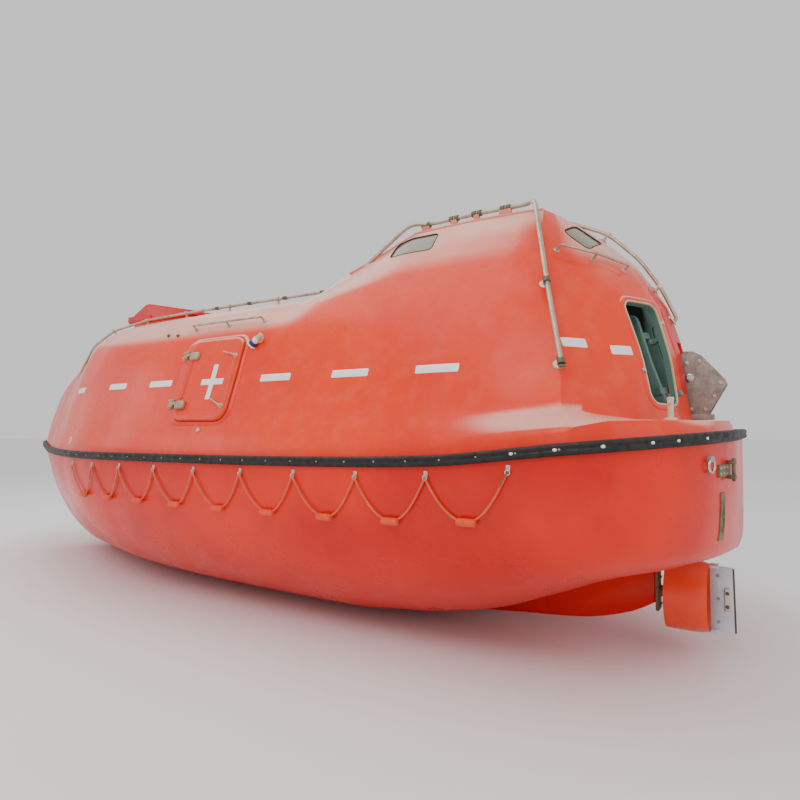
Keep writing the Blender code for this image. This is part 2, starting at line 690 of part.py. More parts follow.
# Rails of bent tube with short feet that end on the skin
def feet_data(points, radius=0.010, reach=0.03):
    parts = []
    for p, (hit, normal) in points:
        p = Vector(p)
        end = hit - normal * reach
        parts.append(rod(p, end, radius, 6))
        parts.append(rod(hit + normal * 0.006, hit - normal * 0.02, 0.028, 6))
    return parts


def tube_rail(name, line, feet, radius=TUBE_R):
    data = sweep(line, radius, 7)
    ob = mesh_object(name, data[0], data[1], "rail_steel")
    for i, (p, base) in enumerate(feet):
        foot = feet_data([(p, base)])
        fuse(ob, "%s_foot_%d" % (name, i), foot[0])
        fuse(ob, "%s_pad_%d" % (name, i), foot[1])
    clear_of_top(ob)
    return ob


TOP_RAIL_X = (2.10, 1.75, 1.2, 0.6, 0.0, -0.6, -1.10)
TOP_RAIL_ENDS = (2.45, -1.22)
TOP_RAIL_Y = 0.47
TOP_RAIL_UP = 0.060
TOWER_RAIL_FOOT = (-1.66, 0.66)
TOWER_RAIL_BEND = (-1.99, 0.60, 2.832)
TOWER_RAIL_FEET = ((-2.14, 0.57), (-2.50, 0.57), (-2.85, 0.565))
TOWER_RAIL_UP = 0.055
TOWER_RAIL_TURN = (-2.935, 0.66, 2.80)
TOWER_RAIL_LOW = ((-3.07, 0.90, 2.20), (-3.235, 1.15, 1.725))
TOWER_RAIL_OUT = 0.055

for tag, side in (("port", 1), ("stbd", -1)):
    line = []
    feet = []
    for i, x in enumerate(TOP_RAIL_X):
        hit, normal = top_above(x, TOP_RAIL_Y * side)
        p = hit + normal * TOP_RAIL_UP
        line.append(p)
        if i not in (0, len(TOP_RAIL_X) - 1):
            feet.append((p, (hit, normal)))
    first, fn = top_above(TOP_RAIL_ENDS[0], TOP_RAIL_Y * side)
    last, ln = top_above(TOP_RAIL_ENDS[1], TOP_RAIL_Y * side)
    line = [first - fn * 0.02] + line + [last - ln * 0.02]
    tube_rail("top_rail_" + tag, line, feet, 0.012)

    # tower rail: up the front slope, along the roof and down the aft corner
    start, sn = top_above(TOWER_RAIL_FOOT[0], TOWER_RAIL_FOOT[1] * side)
    bend_x, bend_y, bend_z = TOWER_RAIL_BEND
    line = [start - sn * 0.02, Vector((bend_x, bend_y * side, bend_z))]
    feet = []
    for x, y in TOWER_RAIL_FEET:
        hit, normal = top_above(x, y * side)
        p = hit + Vector((0, 0, TOWER_RAIL_UP))
        line.append(p)
        feet.append((p, (hit, normal)))
    turn_x, turn_y, turn_z = TOWER_RAIL_TURN
    line.append(Vector((turn_x, turn_y * side, turn_z)))
    out = Vector((-0.5, 0.85 * side, 0.15)).normalized()
    for x, y, z in TOWER_RAIL_LOW:
        hit, normal = seat(top_tree, Vector((x, y * side, z)) + out, -out)
        line.append(hit + out * TOWER_RAIL_OUT)
        feet.append((hit + out * TOWER_RAIL_OUT, (hit, normal)))
    tube_rail("tower_rail_" + tag, line, feet, 0.014)

    # small grab rail over the side hatch
    line = []
    feet = []
    for x in (-0.22, -0.60, -0.98):
        hit, normal = top_side(x, 2.17, side)
        line.append(hit + normal * 0.05)
        feet.append((hit + normal * 0.05, (hit, normal)))
    tube_rail("hatch_grab_" + tag, line, feet, 0.009)

# Aft centre rail, down the tower's slope
aft_line = []
aft_feet = []
AFT_RAIL_SPOTS = ((-3.06, 2.84), (-3.22, 2.70), (-3.42, 2.50), (-3.55, 2.32), (-3.64, 2.10))
AFT_RAIL_UP = (0.055, 0.055, 0.045, 0.040, 0.030)
for i, (x, z) in enumerate(AFT_RAIL_SPOTS):
    direction = Vector((-0.75, 0, 0.66))
    hit, normal = seat(top_tree, Vector((x, 0, z)) + direction * 0.5, -direction)
    p = hit + normal * AFT_RAIL_UP[i]
    aft_line.append(p)
    if i in (1, 3):
        aft_feet.append((p, (hit, normal)))
aft_line = [Vector((-2.92, 0, 2.78)), Vector((-2.94, 0, 2.845))] + aft_line[1:] + [Vector((-3.60, 0, 2.06))]
tube_rail("aft_rail", aft_line, aft_feet, 0.012)

# Small grab rails under the aft windows
for tag, side in (("port", 1), ("stbd", -1)):
    line = []
    feet = []
    for y, z in ((0.70, 2.45), (0.52, 2.41), (0.34, 2.36)):
        hit, normal = top_aft(y * side, z)
        line.append(hit + normal * 0.05)
        feet.append((hit + normal * 0.05, (hit, normal)))
    tube_rail("aft_grab_" + tag, line, feet, 0.009)

# Inside: floor and benches, cut to the hull's inner face
liner_parts = [box_data((-3.0, -1.3, 0.42), (2.5, 1.3, 0.46)),
               box_data((-1.4, -1.3, 0.45), (2.3, -0.85, 0.80)),
               box_data((-1.4, 0.85, 0.45), (2.3, 1.3, 0.80))]
liner = mesh_object("bench_liner", liner_parts[0][0], liner_parts[0][1], "liner_green")
fuse(liner, "bench_a", liner_parts[1])
fuse(liner, "bench_b", liner_parts[2])
liner_fit = hidden("cut_liner_fit", hull_body(INNER_X, HULL_WALL + GAP, 0.0, 0.0))
boolean(liner, liner_fit, "INTERSECT")

block = box_data((-2.35, -0.30, 0.46 + GAP), (-1.55, 0.30, 1.06))
engine = mesh_object("engine", block[0], block[1], "engine_grey")

# Helm: pedestal and seat, console, wheel
pedestal = box_data((-2.98, -0.20, 0.46 + GAP), (-2.62, 0.20, 1.50))
helm_seat = mesh_object("helm_seat", pedestal[0], pedestal[1], "seat_vinyl")
fuse(helm_seat, "seat_pad", box_data((-3.00, -0.25, 1.45), (-2.50, 0.25, 1.58)))
fuse(helm_seat, "seat_back", box_data((-3.04, -0.25, 1.50), (-2.95, 0.25, 2.05)))
stand = box_data((-2.02, -0.28, 1.06 + GAP), (-1.66, 0.28, 2.00))
console = mesh_object("helm_console", stand[0], stand[1], "liner_green")
WHEEL_AT = (-2.12, 0.0, 1.86)
wheel_frame = frame_to(WHEEL_AT, (-1, 0, 0.35), (0, 1, 0))
circle = [(0.17 * math.cos(2 * math.pi * i / 20), 0.17 * math.sin(2 * math.pi * i / 20), 0)
          for i in range(20)]
wheel_data = moved(sweep(circle, 0.012, 6, True), wheel_frame)
wheel = mesh_object("helm_wheel", wheel_data[0], wheel_data[1], "seat_vinyl", WHEEL_AT)
for i in range(3):
    a = math.radians(90 + 120 * i)
    tip = (0.166 * math.cos(a), 0.166 * math.sin(a), 0.001)
    root = (0.012 * math.cos(a), 0.012 * math.sin(a), -0.002)
    fuse(wheel, "spoke_%d" % i, moved(rod(root, tip, 0.008, 7), wheel_frame))
fuse(wheel, "wheel_hub", moved(prism(ring_outline(0.03, 10), -0.055, 0.012), wheel_frame))
fuse(console, "wheel_boss", moved(prism(ring_outline(0.036, 10), -0.150, -0.0555), wheel_frame))

# Stern gear: tube and bracket on the skeg, propeller, nozzle with its stock and fin
flange = box_data((-3.512, -0.050, 0.22), (-3.4903, 0.050, 0.54))
tube = mesh_object("stern_tube", flange[0], flange[1], "bronze")
fuse(tube, "tube_barrel", rod((-3.50, 0, SHAFT_Z), (-3.600, 0, SHAFT_Z), 0.032, 14))
PROP_AT = (-3.68, 0.0, SHAFT_Z)
hub = rod((-3.6003, 0, SHAFT_Z), (-3.745, 0, SHAFT_Z), 0.030, 14)
prop = mesh_object("propeller", hub[0], hub[1], "bronze", PROP_AT)


def blade(turn):
    """A twisted blade 8 mm thick from the boss to the tip circle."""
    rows = []
    for r, chord, pitch in ((0.012, 0.040, 58), (0.065, 0.085, 44), (0.115, 0.110, 32),
                            (0.155, 0.095, 26), (PROP_R, 0.030, 24)):
        a = math.radians(pitch)
        for s in (-0.5, 0.5):
            for t in (-0.003, 0.003):
                u = s * chord
                dx = u * math.sin(a) + t * math.cos(a)
                dt = u * math.cos(a) - t * math.sin(a)
                ang = dt / r if r > 0.05 else dt / 0.05
                rows.append((PROP_AT[0] + dx, r * math.cos(ang + turn), SHAFT_Z + r * math.sin(ang + turn)))
    faces = []
    for i in range(4):
        b = i * 4
        for p, q in ((0, 1), (1, 3), (3, 2), (2, 0)):
            if p == 2:
                faces.append((b + p, b + 4 + p, b + q))
                faces.append((b + 4 + p, b + 4 + q, b + q))
            else:
                faces.append((b + p, b + 4 + p, b + 4 + q))
                faces.append((b + p, b + 4 + q, b + q))
    faces.append((0, 1, 3, 2))
    faces.append((18, 19, 17, 16))
    return rows, faces


for i in range(4):
    fuse(prop, "blade_%d" % i, blade(math.radians(45 + 90 * i)))

STEER_AT = (STOCK_X, 0.0, 0.60)
ring_x0 = STOCK_X - RING_LEN / 2
ring_side = [(ring_x0, RING_R - 0.012), (ring_x0, RING_R), (ring_x0 + RING_LEN * 0.5, RING_R + 0.002),
             (ring_x0 + RING_LEN, RING_R - 0.002), (ring_x0 + RING_LEN, RING_R - 0.014),
             (ring_x0 + RING_LEN * 0.5, RING_R - RING_WALL)]


def spin_x(side, centre_z, count):
    verts = []
    for i in range(count):
        a = 2 * math.pi * i / count
        verts += [(x, r * math.cos(a), centre_z + r * math.sin(a)) for x, r in side]
    n = len(side)
    faces = []
    for i in range(count):
        j = (i + 1) % count
        for k in range(n):
            m = (k + 1) % n
            faces.append((i * n + k, j * n + k, j * n + m, i * n + m))
    return verts, faces


ring_data = spin_x(ring_side, SHAFT_Z, 32)
nozzle = mesh_object("nozzle", ring_data[0], ring_data[1], "hull_red", STEER_AT)
fuse(nozzle, "stock", rod((STOCK_X, 0, 0.545), (STOCK_X, 0, 0.80), STOCK_R, 12))
fuse(nozzle, "stock_boss", rod((STOCK_X, 0, 0.541), (STOCK_X, 0, 0.580), 0.038, 12))
fin_x = ring_x0 - GAP
fin = box_data((fin_x - 0.14, -0.009, SHAFT_Z - 0.20), (fin_x, 0.009, SHAFT_Z + 0.20))
nozzle_fin = mesh_object("nozzle_fin", fin[0], fin[1], "galvanised", STEER_AT)
fuse(nozzle_fin, "fin_pad_high", box_data((fin_x - 0.05, -0.035, SHAFT_Z + 0.185),
                                          (fin_x, 0.035, SHAFT_Z + 0.205)))
fuse(nozzle_fin, "fin_pad_low", box_data((fin_x - 0.05, -0.035, SHAFT_Z - 0.205),
                                         (fin_x, 0.035, SHAFT_Z - 0.185)))
cut(hull, "stock_hole", rod((STOCK_X, 0, 0.50), (STOCK_X, 0, 0.80), STOCK_R + 0.0008, 24))


# Release hooks at bow and stern: two cheeks on a base, hook on a pin between them
def cheek(outline, y0, y1):
    return moved(prism(outline, -y1, -y0), Matrix.Rotation(math.radians(90), 4, "X"))


def hook_set(tag, outline, pin, base_box, hook_outline, look="hook_grey"):
    plate = cheek(outline, 0.045, 0.057)
    ob = mesh_object(tag + "_hook_plates", plate[0], plate[1], look)
    fuse(ob, tag + "_cheek", cheek(outline, -0.057, -0.045))
    fuse(ob, tag + "_foot", box_data(*base_box))
    fuse(ob, tag + "_pin", rod((pin[0], -0.075, pin[1]), (pin[0], 0.075, pin[1]), 0.016, 12))
    data = cheek(hook_outline, -0.028, 0.028)
    hook = mesh_object(tag + "_hook", data[0], data[1], "galvanised", (pin[0], 0, pin[1]))
    cut(hook, tag + "_hook_bore", rod((pin[0], -0.06, pin[1]), (pin[0], 0.06, pin[1]), 0.0165, 24))
    return ob, hook


# each hook stands in a recess of the canopy: a tub inside the skin, and its hollow
well_limit = hidden("cut_well_limit", shell_body(grid_offset(TOP_GRID, -0.010), 0.0, True))


def recess(name, tub, hollow):
    wall = hidden("join_" + name, box_data(*tub))
    boolean(wall, well_limit, "INTERSECT")
    boolean(canopy, wall, "UNION")
    cut(canopy, name + "_hollow", box_data(*hollow))


STERN_STEP = 1.4365
recess("stern_recess", ((-3.90, -0.120, 1.375), (-3.592, 0.120, 1.955)),
       ((-3.95, -0.096, STERN_STEP), (-3.617, 0.096, 1.925)))
stern_plate = [(-3.66, 1.45), (-3.808, 1.456), (-3.917, 1.653), (-3.905, 1.69), (-3.78, 1.84),
               (-3.735, 1.866), (-3.685, 1.869), (-3.64, 1.82), (-3.655, 1.62)]
stern_hook_shape = [(-3.678, 1.68), (-3.703, 1.655), (-3.783, 1.64), (-3.838, 1.68), (-3.833, 1.75),
                    (-3.803, 1.765), (-3.793, 1.74), (-3.808, 1.70), (-3.773, 1.675), (-3.733, 1.725),
                    (-3.693, 1.73)]
stern_plates, stern_hook = hook_set("stern", list(reversed(stern_plate)), (-3.713, 1.70),
                                    ((-3.84, -0.075, STERN_STEP + GAP), (-3.64, 0.075, 1.472)),
                                    list(reversed(stern_hook_shape)))
WELL_FLOOR = 2.02
recess("hook_well", ((2.25, -0.125, 1.98), (2.83, 0.125, 2.60)),
       ((2.28, -0.100, WELL_FLOOR), (2.80, 0.100, 2.70)))
bow_plate = [(2.42, 2.05), (2.42, 2.26), (2.50, 2.38), (2.60, 2.38), (2.74, 2.22), (2.74, 2.05)]
bow_hook_shape = [(2.52, 2.22), (2.55, 2.20), (2.63, 2.24), (2.69, 2.33), (2.67, 2.42),
                  (2.63, 2.44), (2.625, 2.40), (2.645, 2.34), (2.60, 2.29), (2.56, 2.30),
                  (2.535, 2.30), (2.51, 2.26)]
bow_plates, bow_hook = hook_set("bow", list(reversed(bow_plate)), (2.545, 2.25),
                                ((2.42, -0.075, WELL_FLOOR + GAP), (2.76, 0.075, 2.08)),
                                list(reversed(bow_hook_shape)))

# Stern posts with a crossbar
POST_X = -3.70
POST_Y = 0.74
for tag, side in (("port", 1), ("stbd", -1)):
    y = POST_Y * side
    post = rod((POST_X, y, 1.432), (POST_X, y, 1.555), 0.020, 12)
    ob = mesh_object("stern_post_" + tag, post[0], post[1], "cream")
    fuse(ob, "post_bar_" + tag, rod((POST_X, y - 0.045, 1.53), (POST_X, y + 0.045, 1.53), 0.010, 8))
    fuse(ob, "post_pad_" + tag, rod((POST_X, y, 1.42), (POST_X, y, 1.440), 0.035, 12))
    clear_of_top(ob)

# Lamp socket beside the port hatch
hit, normal = top_side(-1.03, 2.02)
lamp = rod(hit - normal * 0.02, hit + normal * 0.03, 0.022, 12)
socket = mesh_object("lamp_socket", lamp[0], lamp[1], "cream")
fuse(socket, "lamp_body", rod(hit + normal * 0.03 + Vector((0.05, 0, -0.06)),
                              hit + normal * 0.03 + Vector((-0.04, 0, 0.05)), 0.024, 12))
clear_of_top(socket)

# Lifelines: rope looped along each side, held by clips under the rail, a float in each loop
LINE_X = [1.05, 0.62, 0.20, -0.24, -0.69, -1.16, -1.63, -2.11, -2.58, -3.05]
LINE_DROP = 0.10
LINE_SAG = 0.24
LINE_STEPS = 6
LINE_OFF = 0.016
for tag, side in (("port", 1), ("stbd", -1)):
    line = []
    clips = []
    floats = []
    for i in range(len(LINE_X) - 1):
        a, b = LINE_X[i], LINE_X[i + 1]
        za = table(a, SHEER) - LINE_DROP
        zb = table(b, SHEER) - LINE_DROP
        for k in range(LINE_STEPS):
            t = k / LINE_STEPS
            x = a + (b - a) * t
            z = za + (zb - za) * t - LINE_SAG * 4 * t * (1 - t)
            hit, normal = hull_side(x, z, side)
            line.append(hit + normal * LINE_OFF)
            if k == 0:
                clips.append((hit, normal))
            if k == LINE_STEPS // 2:
                floats.append((hit, normal))
    end, end_n = hull_side(LINE_X[-1], table(LINE_X[-1], SHEER) - LINE_DROP, side)
    line.append(end + end_n * LINE_OFF)
    clips.append((end, end_n))
    data = sweep(line, 0.006, 5)
    rope = mesh_object("lifeline_" + tag, data[0], data[1], "rope_orange")
    blocks = []
    for hit, normal in clips:
        blocks.append(rod(hit - normal * 0.02, hit + normal * 0.028, 0.014, 6))
    for i, block in enumerate(blocks):
        fuse(rope, "clip_%s_%d" % (tag, i), block)
    for i, (hit, normal) in enumerate(floats):
        centre = hit + normal * 0.021
        fuse(rope, "float_%s_%d" % (tag, i), rod(centre + Vector((0.05, 0, 0)),
                                                centre - Vector((0.05, 0, 0)), 0.020, 6))
    clear_of_hull(rope)

# Fittings on the stern's port side: strip, cleat with its bar, ring with its eye
def stern_frame(y, z):
    hit, normal = seat(hull_tree, (-6, y, z), (1, 0, 0))
    return opening_frame(hit, normal)


strip = moved(box_data((-0.020, -0.125, -0.03), (0.020, 0.125, 0.006)), stern_frame(0.650, 0.93))
stern_strip = mesh_object("stern_strip", strip[0], strip[1], "galvanised")
clear_of_hull(stern_strip)

cleat_frame = stern_frame(0.63, 1.17)
plate = moved(box_data((-0.085, -0.035, -0.03), (0.095, 0.030, 0.008)), cleat_frame)
stern_cleat = mesh_object("stern_cleat", plate[0], plate[1], "galvanised")
fuse(stern_cleat, "cleat_arm_low", moved(box_data((0.060, -0.050, 0.0), (0.090, -0.030, 0.040)), cleat_frame))
fuse(stern_cleat, "cleat_arm_high", moved(box_data((0.060, 0.028, 0.0), (0.090, 0.048, 0.040)), cleat_frame))
fuse(stern_cleat, "cleat_bar", moved(rod((0.075, -0.062, 0.030), (0.075, 0.060, 0.030), 0.009, 10), cleat_frame))
clear_of_hull(stern_cleat)

ring_frame = stern_frame(0.815, 1.20)
RING_EYE_R = 0.034
loop = [(RING_EYE_R * math.cos(2 * math.pi * i / 16), RING_EYE_R * math.sin(2 * math.pi * i / 16), 0.018)
        for i in range(16)]
ring_tube = moved(sweep(loop, 0.007, 7, True), ring_frame)
stern_ring = mesh_object("stern_ring", ring_tube[0], ring_tube[1], "galvanised")
fuse(stern_ring, "ring_eye", moved(box_data((-0.016, 0.018, -0.03), (0.016, 0.050, 0.030)), ring_frame))
clear_of_hull(stern_ring)
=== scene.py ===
"""Dresses the enclosed lifeboat: smooth skins, fittings, materials, light and camera.
+X to the bow, +Y to port, +Z up, z = 0 on the waterline, metres. The lines are the ones of the
part's source, with heights above the keel's base, and drop by DRAUGHT."""
import json
import math

import bpy
import bmesh
import numpy as np
from mathutils import Matrix, Vector
from mathutils.bvhtree import BVHTree


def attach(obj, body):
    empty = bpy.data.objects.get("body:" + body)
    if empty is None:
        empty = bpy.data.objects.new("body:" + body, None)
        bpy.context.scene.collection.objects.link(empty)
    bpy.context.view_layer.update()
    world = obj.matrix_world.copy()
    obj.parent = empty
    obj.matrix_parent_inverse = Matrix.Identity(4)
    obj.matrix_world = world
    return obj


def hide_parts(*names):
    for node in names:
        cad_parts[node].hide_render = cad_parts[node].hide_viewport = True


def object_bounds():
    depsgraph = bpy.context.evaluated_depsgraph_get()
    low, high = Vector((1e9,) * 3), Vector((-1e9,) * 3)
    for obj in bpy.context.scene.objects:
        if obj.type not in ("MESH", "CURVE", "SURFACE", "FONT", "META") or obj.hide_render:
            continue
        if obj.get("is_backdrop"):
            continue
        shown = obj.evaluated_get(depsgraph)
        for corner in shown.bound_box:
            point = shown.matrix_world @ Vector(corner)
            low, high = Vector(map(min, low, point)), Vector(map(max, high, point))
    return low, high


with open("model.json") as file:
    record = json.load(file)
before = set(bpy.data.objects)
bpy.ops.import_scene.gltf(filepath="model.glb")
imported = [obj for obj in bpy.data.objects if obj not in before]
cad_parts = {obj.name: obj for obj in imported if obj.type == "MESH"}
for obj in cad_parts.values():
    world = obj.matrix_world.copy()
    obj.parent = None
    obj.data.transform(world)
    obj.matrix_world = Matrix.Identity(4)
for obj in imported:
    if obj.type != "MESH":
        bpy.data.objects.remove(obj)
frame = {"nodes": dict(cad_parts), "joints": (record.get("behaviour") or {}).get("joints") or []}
cad_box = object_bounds()
NODES = frame["nodes"]
JOINTS = {j["name"]: j for j in frame["joints"]}
DRAUGHT = 0.60
X_AXIS = Vector((1, 0, 0))
UP = Vector((0, 0, 1))
SIDES = (("port", 1), ("stbd", -1))


def at(x, y, z):
    """A point given by its height above the keel's base."""
    return Vector((x, y, z - DRAUGHT))


# Camera, light and floor
camera_data = bpy.data.cameras.new("camera")
camera_data.sensor_width = 36.0
camera_data.lens = 27.0
camera = bpy.data.objects.new("camera", camera_data)
bpy.context.scene.collection.objects.link(camera)
camera.location = at(-4.2, 4.2, 1.41)
VIEW_TURN = math.radians(57.5)
VIEW_PITCH = math.radians(2.3)
view_dir = Vector((math.cos(VIEW_TURN), -math.sin(VIEW_TURN), math.tan(VIEW_PITCH)))
camera.rotation_euler = view_dir.to_track_quat("-Z", "Y").to_euler()
bpy.context.scene.camera = camera


def area_light(name, place, target, size, power, colour=(1, 1, 1)):
    data = bpy.data.lights.new(name, "AREA")
    data.shape = "RECTANGLE"
    data.size, data.size_y = size
    data.energy = power
    data.color = colour
    ob = bpy.data.objects.new(name, data)
    ob.location = place
    ob.rotation_euler = (Vector(target) - Vector(place)).to_track_quat("-Z", "Y").to_euler()
    bpy.context.scene.collection.objects.link(ob)


area_light("key", (-3.0, 7.5, 7.0), (0, 0, 0.6), (5, 4), 255, (1.0, 0.98, 0.95))
area_light("fill", (-9.0, 2.0, 3.0), (-1, 0, 0.5), (5, 4), 58, (0.95, 0.98, 1.0))
area_light("over", (1.5, 1.0, 7.5), (0, 0, 0), (9, 5), 225)
area_light("far", (6.0, -7.0, 4.5), (0, 0, 0.8), (6, 4), 130)
area_light("bow_side", (7.5, 6.0, 3.5), (1.5, 0, 0.5), (5, 3), 60)
area_light("inside", at(-2.80, -0.25, 2.25), at(-3.1, 0.5, 1.3), (0.5, 0.4), 16, (0.90, 1.0, 0.97))
world = bpy.data.worlds.new("world")
world.use_nodes = True
background = world.node_tree.nodes["Background"].inputs
background["Color"].default_value = (1.0, 1.0, 1.0, 1)
background["Strength"].default_value = 0.85
bpy.context.scene.world = world


def tint(colour):
    """A colour seen in a picture, 0 to 255, as the linear values that a shader takes."""
    shares = [c / 255.0 for c in colour]
    return tuple(c / 12.92 if c <= 0.04045 else ((c + 0.055) / 1.055) ** 2.4 for c in shares) + (1.0,)


class Finish:
    """A Principled material, with short calls for the nodes that vary it."""

    def __init__(self, name, colour, rough, metal=0.0, **sockets):
        self.mat = bpy.data.materials.new(name)
        self.mat.use_nodes = True
        self.tree = self.mat.node_tree
        self.bsdf = self.tree.nodes["Principled BSDF"]
        self.fill(self.bsdf, {"Base Color": colour, "Roughness": rough, "Metallic": metal})
        self.fill(self.bsdf, {key.replace("_", " "): value for key, value in sockets.items()})
        self.place = self.add("TexCoord", {}, "Object")

    def fill(self, node, values):
        """Sets a node's inputs, each to a plain value or to what another node gives."""
        for key, value in values.items():
            if isinstance(value, bpy.types.NodeSocket):
                self.tree.links.new(value, node.inputs[key])
            else:
                node.inputs[key].default_value = value

    def add(self, kind, values, output, **settings):
        node = self.tree.nodes.new("ShaderNode" + kind)
        for key, value in settings.items():
            setattr(node, key, value)
        self.fill(node, values)
        return node.outputs[output]

    def noise(self, scale, detail=4.0, rough=0.55, stretch=(1, 1, 1), offset=(0, 0, 0)):
        where = self.add("Mapping", {"Scale": stretch, "Location": offset, "Vector": self.place}, "Vector")
        return self.add("TexNoise", {"Scale": scale, "Detail": detail, "Roughness": rough, "Vector": where},
                        "Fac")

    def cell_edges(self, scale):
        return self.add("TexVoronoi", {"Scale": scale, "Vector": self.place}, "Distance",
                        feature="DISTANCE_TO_EDGE")

    def span(self, value, low, high, to_low=0.0, to_high=1.0):
        return self.add("MapRange", {"Value": value, "From Min": low, "From Max": high, "To Min": to_low,
                                     "To Max": to_high}, "Result", interpolation_type="SMOOTHSTEP")

    def maths(self, kind, a, b):
        return self.add("Math", {0: a, 1: b}, 0, operation=kind)

    def mix(self, factor, a, b):
        return self.add("Mix", {"Factor": factor, "A": a, "B": b}, "Result", data_type="RGBA")

    def facing_up(self):
        return self.add("SeparateXYZ", {0: self.add("NewGeometry", {}, "Normal")}, "Z")

    def height(self):
        return self.add("SeparateXYZ", {0: self.place}, "Z")

    def edges(self):
        return self.span(self.add("NewGeometry", {}, "Pointiness"), 0.52, 0.62)

    def made(self, colour, rough, *layers):
        """Sets colour and roughness, and the bump, whose layers are (height, strength, distance)."""
        self.fill(self.bsdf, {"Base Color": colour, "Roughness": rough})
        below = {}
        for height, strength, distance in layers:
            values = {"Strength": strength, "Distance": distance, "Height": height}
            below = {"Normal": self.add("Bump", {**values, **below}, "Normal")}
        self.fill(self.bsdf, below)
        return self.mat


def gelcoat(name, base, deep, chalk_and_glare_colour, chalk_and_glare_at, grime, low=None):
    """Weathered gelcoat: paler where it faces up, by `chalk_and_glare_at` (from, to, most), which is
    chalking and a painted glare on the upward faces; darker where `low` (from, to) sinks, a painted shade."""
    base, deep, chalk_and_glare_colour = tint(base), tint(deep), tint(chalk_and_glare_colour)
    f = Finish(name, base, 0.30, Coat_Weight=0.12, Coat_Roughness=0.12, Specular_IOR_Level=0.28)
    colour = f.mix(f.span(f.noise(1.1, 3.0, 0.5), 0.35, 0.68), base, deep)
    # darker towards the bottom where `low` is given: painted shade under the hull
    if low:
        colour = f.mix(f.span(f.height(), low[0], low[1], 0.75, 0.0), colour, deep)
    colour = f.mix(f.span(f.noise(9.0, 5.0, 0.6), 0.42, 0.75, 0.0, 0.05), colour, chalk_and_glare_colour)
    # paler on faces that look up: chalked gelcoat, and a painted glare of the sky on the upward faces
    top = f.span(f.facing_up(), chalk_and_glare_at[0], chalk_and_glare_at[1], 0.0, chalk_and_glare_at[2])
    worn = f.span(f.noise(3.2, 5.0, 0.6, offset=(4, 1, 2)), 0.25, 0.75, 0.70, 1.0)
    colour = f.mix(f.maths("MULTIPLY", top, worn), colour, chalk_and_glare_colour)
    dirt = f.span(f.noise(5.0, 5.0, 0.65, stretch=(1.6, 1.6, 0.16)), 0.56, 0.80, 0.0, grime)
    colour = f.mix(dirt, colour, tuple(0.45 * c for c in deep[:3]) + (1,))
    specks = f.span(f.noise(120.0, 2.0, 0.5), 0.72, 0.78, 0.0, 0.30)
    colour = f.mix(specks, colour, tint((90, 60, 50)))
    rough = f.maths("ADD", f.span(f.noise(2.4), 0.3, 0.7, 0.24, 0.40), f.maths("MULTIPLY", dirt, 0.4))
    return f.made(colour, rough, (f.noise(2.0, 2.0, 0.4), 0.35, 0.010),
                  (f.noise(24.0, 3.0, 0.5), 0.10, 0.0015), (f.noise(420.0, 2.0, 0.5), 0.05, 0.0004))


# the hull's gelcoat darkens from 0.15 down to -0.35, towards the keel: painted shade under the hull
HULL_PAINT = gelcoat("hull_gelcoat", (238, 36, 0), (208, 14, 0), (232, 110, 80), (0.3, 1.0, 0.20), 0.18,
                     (-0.35, 0.15))
# the canopy goes pale on faces that look up from 0.50 to 0.61: chalking, and painted glare on the upper
# facets
TOP_PAINT = gelcoat("canopy_gelcoat", (242, 56, 0), (232, 42, 0), (238, 196, 178), (0.50, 0.61, 0.74), 0.12)
RED_PAINT = gelcoat("cover_red", (216, 8, 18), (190, 4, 14), (226, 76, 70), (0.8, 1.0, 0.20), 0.16)
PINK_PAINT = gelcoat("weathered_pink", (226, 130, 110), (206, 96, 78), (240, 200, 190), (0.5, 1.0, 0.50),
                     0.20)
# dark red for the seal under the hatch cover: the seal's colour darkened into a painted shadow line
SEAL_SHADOW_RED = gelcoat("shadow_red", (128, 14, 8), (104, 10, 8), (150, 50, 40), (0.8, 1.0, 0.10), 0.2)
# the nozzle's paint is paler than the hull's: painted light on a ring that sits in the hull's shade
NOZZLE_LIT_PAINT = gelcoat("nozzle_paint_lightened", (250, 84, 44), (236, 62, 34), (244, 176, 150), (0.5, 1.0, 0.30), 0.20)


def metal_finish(name, base, worn, rough, metal, grain, rust, bump):
    """Metal or painted metal: cloudy, spotted with rust, and lighter along its edges."""
    base, worn = tint(base), tint(worn)
    f = Finish(name, base, rough, metal)
    colour = f.mix(f.span(f.noise(grain * 0.25, 5.0, 0.6), 0.35, 0.70), base, worn)
    if rust:
        spots = f.span(f.noise(grain * 0.5, 6.0, 0.7, offset=(3, 7, 1)), 0.60, 0.72, 0.0, rust)
        colour = f.mix(spots, colour, tint((128, 74, 42)))
    colour = f.mix(f.edges(), colour, tuple(min(1.0, 1.5 * c) for c in worn[:3]) + (1,))
    return f.made(colour, f.span(f.noise(grain), 0.3, 0.7, rough - 0.10, rough + 0.14),
                  (f.noise(grain * 2.0, 4.0, 0.6), 0.35, bump))


RAIL_METAL = metal_finish("rail_metal", (196, 184, 164), (160, 146, 126), 0.36, 0.75, 40.0, 0.25, 0.0004)
HOOK_METAL = metal_finish("hook_plate_metal", (164, 154, 144), (120, 112, 104), 0.62, 0.30, 70.0, 0.35,
                          0.0015)
BRIGHT_METAL = metal_finish("bright_metal", (214, 210, 202), (176, 170, 160), 0.26, 0.95, 90.0, 0.0, 0.0003)
FIN_METAL = metal_finish("fin_metal", (216, 224, 228), (176, 188, 196), 0.46, 0.35, 30.0, 0.12, 0.0008)
ZINC = metal_finish("galvanised_zinc", (176, 188, 198), (120, 130, 140), 0.48, 0.55, 45.0, 0.10, 0.0008)
OLIVE_METAL = metal_finish("olive_metal", (128, 122, 88), (96, 92, 70), 0.55, 0.4, 60.0, 0.25, 0.0010)
BRONZE = metal_finish("bronze_cast", (150, 118, 66), (92, 82, 54), 0.42, 0.85, 50.0, 0.0, 0.0010)
